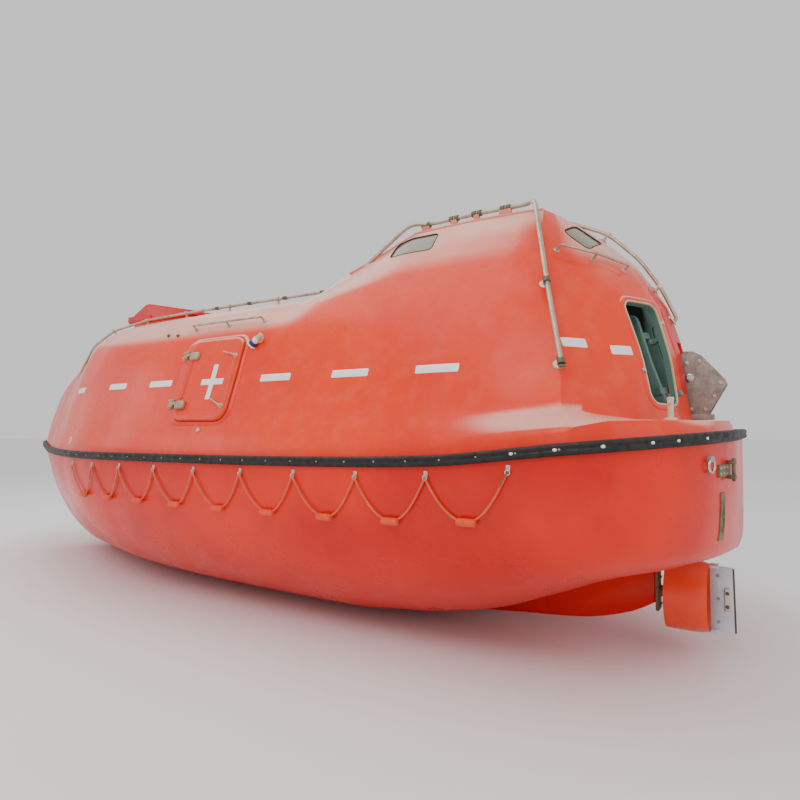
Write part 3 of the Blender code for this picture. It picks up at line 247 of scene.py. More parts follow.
DARK_METAL = metal_finish("dark_clamp", (66, 60, 54), (92, 84, 72), 0.55, 0.5, 60.0, 0.2, 0.0008)
HINGE_METAL = metal_finish("hinge_metal", (186, 176, 140), (132, 122, 96), 0.42, 0.30, 60.0, 0.30, 0.0010)
CREAM_PAINT = metal_finish("cream_paint", (214, 202, 172), (188, 172, 138), 0.45, 0.1, 50.0, 0.30, 0.0008)


def plastic_finish(name, base, worn, rough, scale=30.0):
    base, worn = tint(base), tint(worn)
    f = Finish(name, base, rough)
    return f.made(f.mix(f.span(f.noise(scale, 5.0, 0.6), 0.45, 0.75, 0.0, 0.7), base, worn),
                  f.span(f.noise(scale * 2, 3.0), 0.3, 0.7, rough - 0.08, rough + 0.12),
                  (f.noise(scale * 9, 3.0), 0.25, 0.0004))


FLOAT_PAINT = plastic_finish("float_foam", (232, 78, 36), (204, 60, 36), 0.60)
INSIDE_PAINT = plastic_finish("inside_paint", (98, 128, 120), (72, 98, 94), 0.55, 6.0)
LINER_PAINT = plastic_finish("liner_paint", (66, 92, 88), (48, 68, 66), 0.60, 8.0)
ENGINE_PAINT = plastic_finish("engine_paint", (96, 104, 106), (66, 70, 72), 0.5, 14.0)
VINYL = plastic_finish("seat_vinyl", (40, 44, 48), (62, 66, 70), 0.5, 40.0)
WHITE_PLASTIC = plastic_finish("white_plastic", (232, 230, 224), (206, 202, 192), 0.4)
NAVY_PLASTIC = plastic_finish("navy_plastic", (36, 42, 88), (56, 60, 100), 0.4)
GASKET = plastic_finish("dark_gasket", (52, 34, 30), (84, 50, 42), 0.7, 24.0)

f = Finish("black_rubber", tint((16, 14, 14)), 0.55)
dust = f.span(f.noise(7.0, 5.0, 0.65), 0.40, 0.75, 0.0, 0.40)
colour = f.mix(dust, tint((12, 11, 11)), tint((48, 40, 36)))
RUBBER = f.made(f.mix(f.span(f.facing_up(), 0.3, 1.0, 0.0, 0.35), colour, tint((64, 54, 48))),
                f.span(f.noise(30.0), 0.3, 0.7, 0.45, 0.75), (f.noise(14.0, 3.0), 0.25, 0.003),
                (f.noise(300.0, 3.0), 0.3, 0.0004))

f = Finish("reflective_tape", tint((246, 246, 244)), 0.30, Coat_Weight=0.5)
cells = f.span(f.cell_edges(160.0), 0.0, 0.12)
colour = f.mix(cells, tint((214, 214, 214)), tint((252, 252, 250)))
TAPE = f.made(f.mix(f.span(f.noise(20.0, 5.0), 0.58, 0.8, 0.0, 0.35), colour, tint((190, 186, 180))), 0.30,
              (cells, 0.25, 0.0003))

f = Finish("rope_fibre", tint((226, 96, 56)), 0.85, Sheen_Weight=0.35)
colour = f.mix(f.span(f.noise(500.0, 4.0, 0.7), 0.3, 0.7), tint((236, 112, 70)), tint((196, 66, 36)))
ROPE = f.made(f.mix(f.span(f.noise(12.0), 0.5, 0.8, 0.0, 0.5), colour, tint((240, 170, 140))), 0.85,
              (f.noise(900.0, 4.0, 0.7), 0.6, 0.0008))

f = Finish("window_glass", tint((150, 148, 122)), 0.06, Transmission_Weight=0.35, IOR=1.45)
GLASS = f.made(f.mix(f.span(f.noise(6.0), 0.4, 0.7, 0.0, 0.6), tint((150, 146, 120)), tint((182, 172, 148))),
               f.span(f.noise(18.0), 0.3, 0.7, 0.04, 0.14), (f.noise(5.0, 2.0), 0.15, 0.002))

f = Finish("studio_floor", (0.86, 0.86, 0.86, 1), 0.75)
floor_paint = f.made(f.mix(f.span(f.noise(1.5), 0.3, 0.7, 0.0, 0.25), (0.88, 0.88, 0.88, 1),
                           (0.83, 0.83, 0.83, 1)), 0.75)
FLOOR_Z = -DRAUGHT - 0.006
FLOOR_HALF = 60.0
floor_mesh = bpy.data.meshes.new("floor")
corners = [(x * FLOOR_HALF, y * FLOOR_HALF, FLOOR_Z) for x, y in ((-1, -1), (1, -1), (1, 1), (-1, 1))]
floor_mesh.from_pydata(corners, [], [(0, 1, 2, 3)])
floor_mesh.materials.append(floor_paint)
floor = bpy.data.objects.new("floor", floor_mesh)
bpy.context.scene.collection.objects.link(floor)
floor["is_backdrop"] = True


# Mesh building
def bake(ob):
    """Turns an object's modifiers into its mesh."""
    graph = bpy.context.evaluated_depsgraph_get()
    mesh = bpy.data.meshes.new_from_object(ob.evaluated_get(graph))
    ob.modifiers.clear()
    ob.data = mesh


def outward(mesh):
    bm = bmesh.new()
    bm.from_mesh(mesh)
    bmesh.ops.recalc_face_normals(bm, faces=bm.faces)
    bm.to_mesh(mesh)
    bm.free()


def plain_object(name, data, mat):
    """An object of verts and faces, its faces turned outward."""
    mesh = bpy.data.meshes.new(name)
    mesh.from_pydata([tuple(v) for v in data[0]], [], data[1])
    mesh.validate()
    mesh.materials.append(mat)
    outward(mesh)
    ob = bpy.data.objects.new(name, mesh)
    bpy.context.scene.collection.objects.link(ob)
    return ob


def finish_piece(ob, body="boat", angle=38.0, replaces=()):
    outward(ob.data)
    ob.data.shade_smooth()
    ob.data.set_sharp_from_angle(angle=math.radians(angle))
    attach(ob, body)
    if replaces:
        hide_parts(*replaces)


def piece(name, data, mat, body="boat", bevel=0.0, segments=2, angle=38.0,
          replaces=()):
    ob = plain_object(name, data, mat)
    if bevel:
        mod = ob.modifiers.new("round", "BEVEL")
        mod.width = bevel
        mod.segments = segments
        mod.limit_method = "ANGLE"
        mod.angle_limit = math.radians(30)
        bake(ob)
    finish_piece(ob, body, angle, replaces)


def repaint(name, mat):
    """Gives a CAD node that stays in view its material."""
    NODES[name].data.materials.clear()
    NODES[name].data.materials.append(mat)


def merge(parts):
    verts, faces = [], []
    for part_verts, part_faces in parts:
        base = len(verts)
        verts += [tuple(v) for v in part_verts]
        faces += [tuple(base + i for i in f) for f in part_faces]
    return verts, faces


def moved(data, matrix):
    return [tuple(matrix @ Vector(v)) for v in data[0]], data[1]


def box_data(lo, hi):
    verts = [(x, y, z) for x in (lo[0], hi[0]) for y in (lo[1], hi[1]) for z in (lo[2], hi[2])]
    faces = [(0, 1, 3, 2), (4, 6, 7, 5), (0, 4, 5, 1), (2, 3, 7, 6), (0, 2, 6, 4), (1, 5, 7, 3)]
    return verts, faces


def box_at(lo, hi):
    """A box whose corners are given by their heights above the keel's base."""
    return box_data(at(*lo), at(*hi))


def boxes_on(m, *corners):
    """Boxes in a frame of their own, each given by its low and its high corner."""
    return [moved(box_data(lo, hi), m) for lo, hi in corners]


def prism(outline, z0, z1):
    n = len(outline)
    verts = [(x, y, z0) for x, y in outline] + [(x, y, z1) for x, y in outline]
    faces = [tuple(range(n - 1, -1, -1)), tuple(range(n, 2 * n))]
    faces += [(i, (i + 1) % n, n + (i + 1) % n, n + i) for i in range(n)]
    return verts, faces


def side_prism(outline, y0, y1):
    """A plate whose outline is given as (x, height above the keel's base)."""
    data = prism(outline, y0, y1)
    return [(x, y, z - DRAUGHT) for x, z, y in data[0]], data[1]


def round_rect(width, height, radius, steps=6):
    points = []
    for cx, cy, a0 in ((1, 1, 0), (-1, 1, 90), (-1, -1, 180), (1, -1, 270)):
        for i in range(steps + 1):
            a = math.radians(a0 + 90 * i / steps)
            points.append((cx * (width / 2 - radius) + radius * math.cos(a),
                           cy * (height / 2 - radius) + radius * math.sin(a)))
    return points


def sweep(rings, caps=(), closed=False):
    """Quads from ring to ring, and back to the first if closed; `caps` are the rings to fill."""
    count, n = len(rings), len(rings[0])
    faces = []
    for i in range(count if closed else count - 1):
        j = (i + 1) % count
        faces += [(i * n + k, i * n + (k + 1) % n, j * n + (k + 1) % n, j * n + k) for k in range(n)]
    faces += [tuple(i % count * n + k for k in range(n)) for i in caps]
    return [p for ring in rings for p in ring], faces


def frame_to(origin, z_dir):
    """A frame at a point, its z along a direction."""
    z = Vector(z_dir).normalized()
    x = UP if abs(z.z) < 0.9 else X_AXIS
    x = (x - z * x.dot(z)).normalized()
    m = Matrix((x, z.cross(x), z)).transposed().to_4x4()
    m.translation = Vector(origin)
    return m


def lathe(profile, matrix, count=24):
    """Turns (radius, height) pairs about the matrix's z; ends on the axis are closed there."""
    rings = []
    verts = []
    for r, h in profile:
        if r < 1e-6:
            rings.append([len(verts)])
            verts.append(matrix @ Vector((0, 0, h)))
            continue
        rings.append(list(range(len(verts), len(verts) + count)))
        for i in range(count):
            a = 2 * math.pi * i / count
            verts.append(matrix @ Vector((r * math.cos(a), r * math.sin(a), h)))
    faces = []
    for a, b in zip(rings, rings[1:]):
        for i in range(count):
            j = (i + 1) % count
            loop = [a[i % len(a)], a[j % len(a)], b[j % len(b)], b[i % len(b)]]
            faces.append(tuple(dict.fromkeys(loop)))
    if len(rings[0]) > 1:
        faces.append(tuple(reversed(rings[0])))
    if len(rings[-1]) > 1:
        faces.append(tuple(rings[-1]))
    return verts, [f for f in faces if len(f) > 2]


def curve(points, step=0.02):
    """Even points along a smooth curve through the given ones."""
    pts = [np.array(p, float) for p in points]
    pts = [2 * pts[0] - pts[1]] + pts + [2 * pts[-1] - pts[-2]]
    out = []
    for a, b, c, d in zip(pts, pts[1:], pts[2:], pts[3:]):
        count = max(2, int(np.linalg.norm(c - b) / step))
        for k in range(count):
            t = k / count
            out.append(0.5 * (2 * b + (c - a) * t + (2 * a - 5 * b + 4 * c - d) * t * t
                              + (3 * b - a - 3 * c + d) * t ** 3))
    out.append(pts[-2])
    return [Vector(p) for p in out]


def bent(points, radius=0.05, steps=5):
    """Straight runs between the points with round corners, as tube is bent."""
    pts = [Vector(p) for p in points]
    out = [pts[0]]
    for a, b, c in zip(pts, pts[1:], pts[2:]):
        reach = min(radius, (a - b).length * 0.45, (c - b).length * 0.45)
        start = b + (a - b).normalized() * reach
        end = b + (c - b).normalized() * reach
        for k in range(steps + 1):
            t = k / steps
            out.append(start * (1 - t) ** 2 + b * 2 * t * (1 - t) + end * t * t)
    out.append(pts[-1])
    return out


def tube(points, radius, count=14):
    """A round tube along points, its ends closed."""
    pts = [Vector(p) for p in points]
    tangents = [(b - a).normalized() for a, b in zip(pts[:1] + pts, pts[1:] + pts[-1:])]
    angles = [2 * math.pi * k / count for k in range(count)]
    side = UP if abs(tangents[0].z) < 0.9 else X_AXIS
    rings = []
    for p, along in zip(pts, tangents):
        side = (side - along * side.dot(along)).normalized()
        other = along.cross(side)
        rings.append([p + (side * math.cos(a) + other * math.sin(a)) * radius for a in angles])
    return sweep(rings, (0, -1))


def rod(p0, p1, radius, count=16):
    p0, p1 = Vector(p0), Vector(p1)
    m = frame_to(p0, p1 - p0)
    edge = min(radius * 0.2, 0.002)
    long = (p1 - p0).length
    return lathe([(0, 0), (radius - edge, 0), (radius, edge), (radius, long - edge),
                  (radius - edge, long), (0, long)], m, count)


def bolt(point, normal, size=0.010):
    """A hexagon head on a round washer."""
    m = frame_to(point, normal)
    washer = lathe([(0, -0.002), (size * 1.25, -0.002), (size * 1.25, size * 0.15),
                    (size * 1.1, size * 0.22), (0, size * 0.22)], m, 16)
    head = lathe([(size * 0.9, size * 0.2), (size * 0.9, size * 0.62), (size * 0.75, size * 0.78),
                  (0, size * 0.80)], m, 6)
    return merge([washer, head])


def dome_bolt(point, normal, size=0.010):
    m = frame_to(point, normal)
    return lathe([(size, -0.003), (size, size * 0.12), (size * 0.86, size * 0.34),
                  (size * 0.5, size * 0.52), (0, size * 0.58)], m, 14)


# Lines of the boat
def slopes(t, p):
    """Slopes of a smooth curve that never swings past the points it goes through."""
    h = np.diff(t).reshape((-1,) + (1,) * (p.ndim - 1))
    d = np.diff(p, axis=0) / h
    m = np.zeros_like(p)
    same = d[:-1] * d[1:] > 1e-12
    first = np.where(same, d[:-1], 1.0)
    second = np.where(same, d[1:], 1.0)
    w1 = 2 * h[1:] + h[:-1]
    w2 = h[1:] + 2 * h[:-1]
    m[1:-1] = np.where(same, (w1 + w2) / (w1 / first + w2 / second), 0.0)
    m[0] = d[0]
    m[-1] = d[-1]
    return m


def through(t, p, places):
    """The curve through p at t, read at `places`."""
    m = slopes(t, p)
    i = np.clip(np.searchsorted(t, places, side="right") - 1, 0, len(t) - 2)
    h = (t[i + 1] - t[i]).reshape((-1,) + (1,) * (p.ndim - 1))
    s = ((places - t[i]) / (t[i + 1] - t[i])).reshape(h.shape)
    return ((2 * s ** 3 - 3 * s ** 2 + 1) * p[i] + (s ** 3 - 2 * s ** 2 + s) * h * m[i]
            + (3 * s ** 2 - 2 * s ** 3) * p[i + 1] + (s ** 3 - s ** 2) * h * m[i + 1])


def straight(t, p, places):
    """The same points joined by straight lines."""
    i = np.clip(np.searchsorted(t, places, side="right") - 1, 0, len(t) - 2)
    s = ((places - t[i]) / (t[i + 1] - t[i])).reshape((-1,) + (1,) * (p.ndim - 1))
    return p[i] * (1 - s) + p[i + 1] * s


def table(x, points):
    return float(np.interp(x, [p[0] for p in points], [p[1] for p in points]))


def fair(xs, points):
    """A table read as a smooth line."""
    data = np.array(points, float)
    return through(data[:, 0], data[:, 1], np.asarray(xs, float))


BREADTH = [(-3.97, 0.42), (-3.93, 0.65), (-3.86, 0.865), (-3.76, 1.045), (-3.63, 1.21),
           (-3.47, 1.335), (-3.30, 1.375), (-3.00, 1.40), (0.0, 1.40), (0.5, 1.38), (1.0, 1.305),
           (1.5, 1.16), (2.0, 0.965), (2.5, 0.745), (3.0, 0.51), (3.5, 0.275), (3.7, 0.18),
           (3.85, 0.10), (3.93, 0.05), (3.97, 0.015)]
SHEER = [(-3.97, 1.36), (-3.30, 1.30), (-2.60, 1.225), (-2.0, 1.20), (-1.0, 1.18), (0.0, 1.17),
         (1.0, 1.16), (2.5, 1.155), (3.97, 1.18)]
KEEL = [(-3.97, 0.70), (-3.70, 0.62), (-3.44, 0.545), (-3.00, 0.35), (-2.63, 0.20), (-2.00, 0.06),
        (-1.50, 0.01), (0.0, 0.0), (1.5, 0.0), (2.3, 0.01), (2.6, 0.05), (2.85, 0.147),
        (3.97, 1.15)]
FULL = [(-3.97, 5.0), (-3.5, 3.6), (-3.0, 2.9), (-2.0, 2.4), (0.0, 2.3), (1.0, 2.1), (2.0, 1.8),
        (3.0, 1.5), (3.97, 1.3)]
MID = [(1, 0), (0.992, 0.055), (0.94, 0.21), (0.867, 0.43), (0.787, 0.67), (0.672, 0.83),
       (0.47, 0.933), (0.24, 0.985), (0, 1)]
BOW = [(1, 0), (0.975, 0.06), (0.87, 0.25), (0.74, 0.45), (0.58, 0.64), (0.43, 0.79),
       (0.28, 0.90), (0.14, 0.97), (0, 1)]
TOP = [(-1.0, 2.47), (1.5, 2.47), (2.0, 2.44), (2.4, 2.38), (2.7, 2.29), (3.0, 2.17), (3.3, 2.0),
       (3.5, 1.87), (3.7, 1.62), (3.8, 1.47), (3.9, 1.33), (3.955, 1.22)]
TOP_INSET = 0.012
SINK = 0.012
HULL_WALL = 0.040
TOP_WALL = 0.045
INNER_FROM = 2


def plain_station(x):
    half = table(x, BREADTH) - TOP_INSET * min(1.0, table(x, BREADTH) / 0.045)
    low = table(x, SHEER) - SINK
    high = table(x, TOP)
    w = min(max((x - 1.2) / 1.8, 0.0), 1.0)
    w = w * w * (3 - 2 * w)
    points = []
    for (a, b), (c, d) in zip(MID, BOW):
        points.append((x, half * (a * (1 - w) + c * w), low + (high - low) * (b * (1 - w) + d * w)))
    return points


def tower_station(x, upper):
    half = table(x, BREADTH) - TOP_INSET
    low = table(x, SHEER)
    return [(x, half, low - SINK), (x, half - 0.011, low + 0.07)] + [(x, y, z) for y, z in upper]


def edge(x):
    return (x, table(x, BREADTH) - TOP_INSET, table(x, SHEER) - SINK)


STATIONS = [plain_station(x) for x in (3.955, 3.9, 3.8, 3.65, 3.45, 3.2, 2.9, 2.5, 2.0, 1.5, 1.0,
                                       0.5, 0.0, -0.5, -0.9, -1.15)]
STATIONS += [
    tower_station(-1.45, [(1.30, 1.47), (1.20, 1.75), (1.075, 2.07), (0.93, 2.31), (0.66, 2.50),
                          (0.33, 2.56), (0, 2.57)]),
    tower_station(-1.80, [(1.295, 1.475), (1.19, 1.75), (1.06, 2.09), (0.90, 2.38), (0.635, 2.64),
                          (0.32, 2.69), (0, 2.70)]),
    tower_station(-2.06, [(1.29, 1.48), (1.185, 1.75), (1.045, 2.10), (0.875, 2.42), (0.62, 2.75),
                          (0.30, 2.785), (0, 2.79)]),
    tower_station(-2.50, [(1.285, 1.48), (1.18, 1.75), (1.035, 2.10), (0.86, 2.43), (0.615, 2.76),
                          (0.30, 2.80), (0, 2.805)]),
    tower_station(-2.85, [(1.27, 1.49), (1.165, 1.75), (1.02, 2.10), (0.84, 2.43), (0.61, 2.755),
                          (0.30, 2.795), (0, 2.80)]),
    [edge(-3.30), (-3.30, 1.345, 1.385), (-3.27, 1.24, 1.50), (-3.225, 1.115, 1.75),
     (-3.12, 0.97, 2.10), (-3.03, 0.79, 2.43), (-2.97, 0.60, 2.75), (-2.96, 0.30, 2.79),
     (-2.96, 0, 2.795)],
    [edge(-3.52), (-3.50, 1.25, 1.425), (-3.40, 1.08, 1.46), (-3.33, 0.94, 1.77),
     (-3.24, 0.79, 2.12), (-3.12, 0.64, 2.45), (-2.99, 0.47, 2.76), (-2.97, 0.25, 2.79),
     (-2.965, 0, 2.795)],
    [edge(-3.74), (-3.71, 1.02, 1.43), (-3.56, 0.82, 1.435), (-3.51, 0.68, 1.80),
     (-3.42, 0.57, 2.14), (-3.26, 0.43, 2.48), (-3.01, 0.32, 2.77), (-2.985, 0.17, 2.79),
     (-2.973, 0, 2.795)],
    [edge(-3.92), (-3.88, 0.60, 1.43), (-3.69, 0.42, 1.435), (-3.64, 0.34, 1.80),
     (-3.55, 0.28, 2.14), (-3.37, 0.22, 2.46), (-3.03, 0.16, 2.775), (-2.995, 0.08, 2.79),
     (-2.980, 0, 2.795)],
    [(-3.955, 0, 1.36 - SINK), (-3.925, 0, 1.43), (-3.74, 0, 1.435), (-3.68, 0, 1.85),
     (-3.59, 0, 2.15), (-3.40, 0, 2.46), (-3.04, 0, 2.785), (-3.005, 0, 2.793),
     (-2.990, 0, 2.795)],
]
TOP_GRID = np.array(STATIONS)
TOP_GRID[:, :, 2] -= DRAUGHT
FLIP = np.array((1.0, -1.0, 1.0))


def grid_offset(grid, distance):
    along = np.gradient(grid, axis=0)
    across = np.gradient(grid, axis=1)
    along[-1] = (0.0, -1.0, 0.0)
    across[:, -1] = (0.0, -1.0, 0.0)
    across[-1] = np.gradient(grid[-1], axis=0)
    normal = np.cross(along, across)
    for _ in range(2):
        normal /= np.maximum(np.linalg.norm(normal, axis=2, keepdims=True), 1e-9)
        normal[:, -1, 1] = 0.0
        normal[-1, :, 1] = 0.0
    normal /= np.maximum(np.linalg.norm(normal, axis=2, keepdims=True), 1e-9)
    return grid + normal * distance


TOWER_FIRM = 0.70
TOWER_FROM, TOWER_FULL = 1.2, 1.5


def spots(gaps, steps, count):
    """Where a line's points lie along it, and `steps` even places in each gap of its first `count`."""
    t = np.concatenate([[0.0], np.cumsum(np.maximum(gaps, 1e-4))])
    runs = [np.linspace(t[i], t[i + 1], steps, endpoint=False) for i in range(count - 1)]
    return t, np.concatenate(runs + [[t[count - 1]]])


def dense(grid, steps_along, steps_across):
    """The grid filled in with curves both ways, mirrored past the centreline. The curves are
    smooth forward and firmer on the tower, whose edges are crisp."""
    rows, cols = grid.shape[:2]
    wide = np.concatenate([grid, grid[:, -2:-4:-1] * FLIP], axis=1)
    long = np.concatenate([wide, wide[-2:-4:-1] * FLIP], axis=0)
    t, places = spots(np.linalg.norm(np.diff(long, axis=0), axis=2).mean(axis=1), steps_along, rows)
    first = through(t, long, places)
    firm = np.interp(-first[:, 4, 0], [TOWER_FROM, TOWER_FULL], [0.0, TOWER_FIRM])
    first += (straight(t, long, places) - first) * firm[:, None, None]
    out = []
    for line, share in zip(first, firm):
        s, places = spots(np.linalg.norm(np.diff(line, axis=0), axis=1), steps_across, cols)
        smooth = through(s, line, places)
        out.append(smooth + (straight(s, line, places) - smooth) * share)
    out = np.array(out)
    out[:, -1, 1] = 0.0
    out[-1, :, 1] = 0.0
    return out


def shell_body(grid, bottom):
    """A half grid mirrored and closed below and at its front."""
    if bottom > 0:
        low = grid[:, :1].copy()
        low[:, :, 2] -= bottom
        grid = np.concatenate([low, grid], axis=1)
    rows, cols = grid.shape[:2]
    verts, index, faces = [], {}, []

    def vertex(p):
        key = (round(float(p[0]), 5), round(float(p[1]), 5), round(float(p[2]), 5))
        if key not in index:
            index[key] = len(verts)
            verts.append(key)
        return index[key]

    port = [[vertex(grid[i, k]) for k in range(cols)] for i in range(rows)]
    stbd = [[vertex(grid[i, k] * FLIP) for k in range(cols)] for i in range(rows)]

    def add(*loop):
        clean = list(dict.fromkeys(loop))
        if len(clean) > 2:
            faces.append(tuple(clean))

    for i in range(rows - 1):
        for k in range(cols - 1):
            add(port[i][k], port[i + 1][k], port[i + 1][k + 1], port[i][k + 1])
            add(stbd[i][k + 1], stbd[i + 1][k + 1], stbd[i + 1][k], stbd[i][k])
        add(port[i][0], stbd[i][0], stbd[i + 1][0], port[i + 1][0])
    for k in range(cols - 1):
        add(port[0][k], port[0][k + 1], stbd[0][k + 1], stbd[0][k])
    return verts, faces


def tree_of(data):
    return BVHTree.FromPolygons([Vector(v) for v in data[0]], data[1])


flat_top = tree_of(shell_body(TOP_GRID, 0.0))
smooth_top = shell_body(dense(TOP_GRID, 6, 5), 0.0)
top_tree = tree_of(smooth_top)


def seat(tree, start, direction):
    hit, normal, _, _ = tree.ray_cast(Vector(start), Vector(direction).normalized())
    if normal.dot(Vector(direction)) > 0:
        normal = -normal
    return hit, normal


def top_side(x, z, side=1, tree=None):
    return seat(tree or top_tree, at(x, 3 * side, z), (0, -side, 0))


def top_above(x, y, tree=None):
    return seat(tree or top_tree, (x, y, 5), (0, 0, -1))


def top_aft(y, z, tree=None):
    return seat(tree or top_tree, at(-6, y, z), (1, 0, 0))


def opening_frame(point, normal, up=(0, 0, 1)):
    z = Vector(normal).normalized()
    y = Vector(up)
    y = (y - z * y.dot(z)).normalized()
    m = Matrix((y.cross(z), y, z)).transposed().to_4x4()
    m.translation = Vector(point)
    return m


def side_frame(matrix, side):
    if side > 0:
        return matrix
    flip = Matrix.Scale(-1, 4, (0, 1, 0))
    return flip @ matrix @ Matrix.Scale(-1, 4, (1, 0, 0))


# Hull skin, with a fair keel line and a skeg that swells into it
HULL_REACH = 3.97
HULL_COUNT = 150
HULL_ROWS = 26
spread = np.linspace(0, math.pi, HULL_COUNT)
hull_xs = HULL_REACH * (0.55 * np.cos(spread) + 0.45 * (1 - 2 * spread / math.pi))


def hull_section(xs, inset):
    half = np.maximum(fair(xs, BREADTH) - inset, 0.004)
    top = fair(xs, SHEER)
    keel = np.minimum(fair(xs, KEEL) + inset, top - 0.01)
    n = np.interp(xs, [p[0] for p in FULL], [p[1] for p in FULL])
    a = (math.pi / 2 * np.linspace(0, 1, HULL_ROWS))[None, :]
    power = (2 / n)[:, None]
    y = half[:, None] * np.cos(a).clip(0, 1) ** power
    z = top[:, None] - (top - keel)[:, None] * np.sin(a) ** power
    x = np.repeat(xs[:, None], HULL_ROWS, axis=1)
    port = np.stack([x, y, z - DRAUGHT], axis=2)
    return np.concatenate([port, (port * FLIP)[:, -2::-1]], axis=1)


def hull_solid():
    outer = hull_section(hull_xs, 0.0)
    inner = hull_section(hull_xs * 0.982, HULL_WALL)
    inner[:, (0, -1), 2] = outer[:, (0, -1), 2] - 0.002
    rows, cols = outer.shape[:2]
    verts = [tuple(p) for p in outer.reshape(-1, 3)] + [tuple(p) for p in inner.reshape(-1, 3)]
    base = rows * cols
    faces = []
    for i in range(rows - 1):
        for k in range(cols - 1):
            a, b, c, d = i * cols + k, i * cols + k + 1, (i + 1) * cols + k + 1, (i + 1) * cols + k
            faces.append((a, b, c, d))
            faces.append((base + d, base + c, base + b, base + a))
        for k in (0, cols - 1):
            a, d = i * cols + k, (i + 1) * cols + k
            faces.append((a, d, base + d, base + a))
    for i in (0, rows - 1):
        for k in range(cols // 2):
            a, b = i * cols + k, i * cols + k + 1
            c, d = i * cols + cols - 2 - k, i * cols + cols - 1 - k
            loop = list(dict.fromkeys((a, b, c, d)))
            faces.append(tuple(loop))
            faces.append(tuple(base + v for v in loop))
        a, b = i * cols, i * cols + cols - 1
        faces.append((a, b, base + b, base + a))
    return verts, faces


hull_data = hull_solid()
hull_tree = tree_of(hull_data)
piece("hull_skin", hull_data, HULL_PAINT, "boat", angle=50, replaces=("hull",))


def hull_side(x, z, side=1):
    return seat(hull_tree, at(x, 3 * side, z), (0, -side, 0))


SKEG_LOW = [(-3.49, 0.27), (-3.35, 0.19), (-3.03, 0.10), (-2.6, 0.06), (-2.0, 0.012),
            (-1.2, -0.002)]
SKEG_FORE, SKEG_AFT = -1.2, -3.488
SWELL_FROM = 0.17


def skeg_solid():
    """The keel's fin, in rows from its fore end; it swells near the keel, where it joins the hull."""
    xs = np.linspace(SKEG_FORE, SKEG_AFT, 34)
    low = fair(xs[::-1], SKEG_LOW)[::-1]
    rows = []
    for x, z0, zk in zip(xs, low, fair(xs, KEEL)):
        fade = min(1.0, (SKEG_FORE - x) / 0.5)
        line = []
        for t in np.linspace(0, 1, 12):
            z = z0 + (zk + 0.10 - z0) * t
            swell = max(0.0, (z - (zk - SWELL_FROM)) / SWELL_FROM)
            y = (0.030 + 0.012 * min(1.0, t * 8)) * fade + 0.004 + 0.10 * fade * swell ** 3
            line.append((x, y, z - DRAUGHT))
        rows.append(line + [(px, -py, pz) for px, py, pz in reversed(line)])
    return sweep(rows, (0, -1))


piece("skeg_skin", skeg_solid(), HULL_PAINT, "boat", bevel=0.004, angle=45)

# Canopy skin: cut by its inside, its doorways, hatches, windows and the hook's well
HATCH_X, HATCH_Z, HATCH_W, HATCH_H, HATCH_HINGE = -0.61, 1.74, 0.58, 0.66, 0.045
AFT_W, AFT_H, AFT_RISE, AFT_Y, AFT_Z = 0.32, 0.635, 0.0275, 0.46, 1.81
hatch_point, hatch_normal = top_side(HATCH_X, HATCH_Z, 1, flat_top)
hatch_normal.x = 0.0
HATCH = opening_frame(hatch_point, hatch_normal)
AFT = opening_frame(*top_aft(AFT_Y, AFT_Z, flat_top))
DOORWAY = AFT @ Matrix.Translation((0, AFT_RISE, 0))
WINDOWS = {
    "front": (top_above(-1.62, 0.30, flat_top), (-1, 0, 0), 0.44, 0.42),
    "corner": (top_above(-2.09, 0.71, flat_top), (0, -1, 0), 0.34, 0.17),
    "aft": (top_above(-3.155, 0.375, flat_top), (1, 0, 0), 0.26, 0.20),
}
BOW_HOLLOW = ((2.28, -0.100, 2.02), (2.80, 0.100, 2.70))
BOW_TUB = ((2.25, -0.125, 1.98), (2.83, 0.125, 2.60))
STERN_HOLLOW = ((-3.95, -0.096, 1.4365), (-3.617, 0.096, 1.925))
STERN_TUB = ((-3.90, -0.120, 1.375), (-3.592, 0.120, 1.955))
LID_AFT, LID_FORE, LID_HALF = 0.66, 1.72, 0.36

canopy_skin = plain_object("canopy_skin", smooth_top, TOP_PAINT)


def shape(ob, data, kind, mat):
    """Cuts an object by a closed body, or keeps what lies inside it."""
    cutter = plain_object("cutter", data, mat)
    mod = ob.modifiers.new("shape", "BOOLEAN")
    mod.operation = kind
    mod.solver = "EXACT"
    mod.material_mode = "TRANSFER"
    mod.object = cutter
    bake(ob)
    bpy.data.objects.remove(cutter)


inner_top = shell_body(dense(grid_offset(TOP_GRID, -TOP_WALL)[INNER_FROM:], 2, 2), 0.12)
shape(canopy_skin, inner_top, "DIFFERENCE", INSIDE_PAINT)
doorway = prism(round_rect(AFT_W, AFT_H, 0.07), -0.2, 0.2)
doorways = [moved(doorway, side_frame(DOORWAY, side)) for side in (1, -1)]
shape(canopy_skin, merge(doorways), "DIFFERENCE", INSIDE_PAINT)
holes = []
for side in (1, -1):
    holes.append(moved(prism(round_rect(0.50, 0.58, 0.07), -0.15, 0.15), side_frame(HATCH, side)))
    for (point, normal), up, width, height in WINDOWS.values():
        m = side_frame(opening_frame(point, normal, up), side)
        holes.append(moved(prism(round_rect(width, height, 0.03), -0.12, 0.12), m))
holes.append(box_at((LID_AFT + 0.12, -0.28, 2.2), (LID_FORE - 0.12, 0.28, 2.7)))
holes += [box_at(*BOW_HOLLOW), box_at(*STERN_HOLLOW)]
shape(canopy_skin, merge(holes), "DIFFERENCE", TOP_PAINT)
finish_piece(canopy_skin, "boat", 32, ("canopy",))

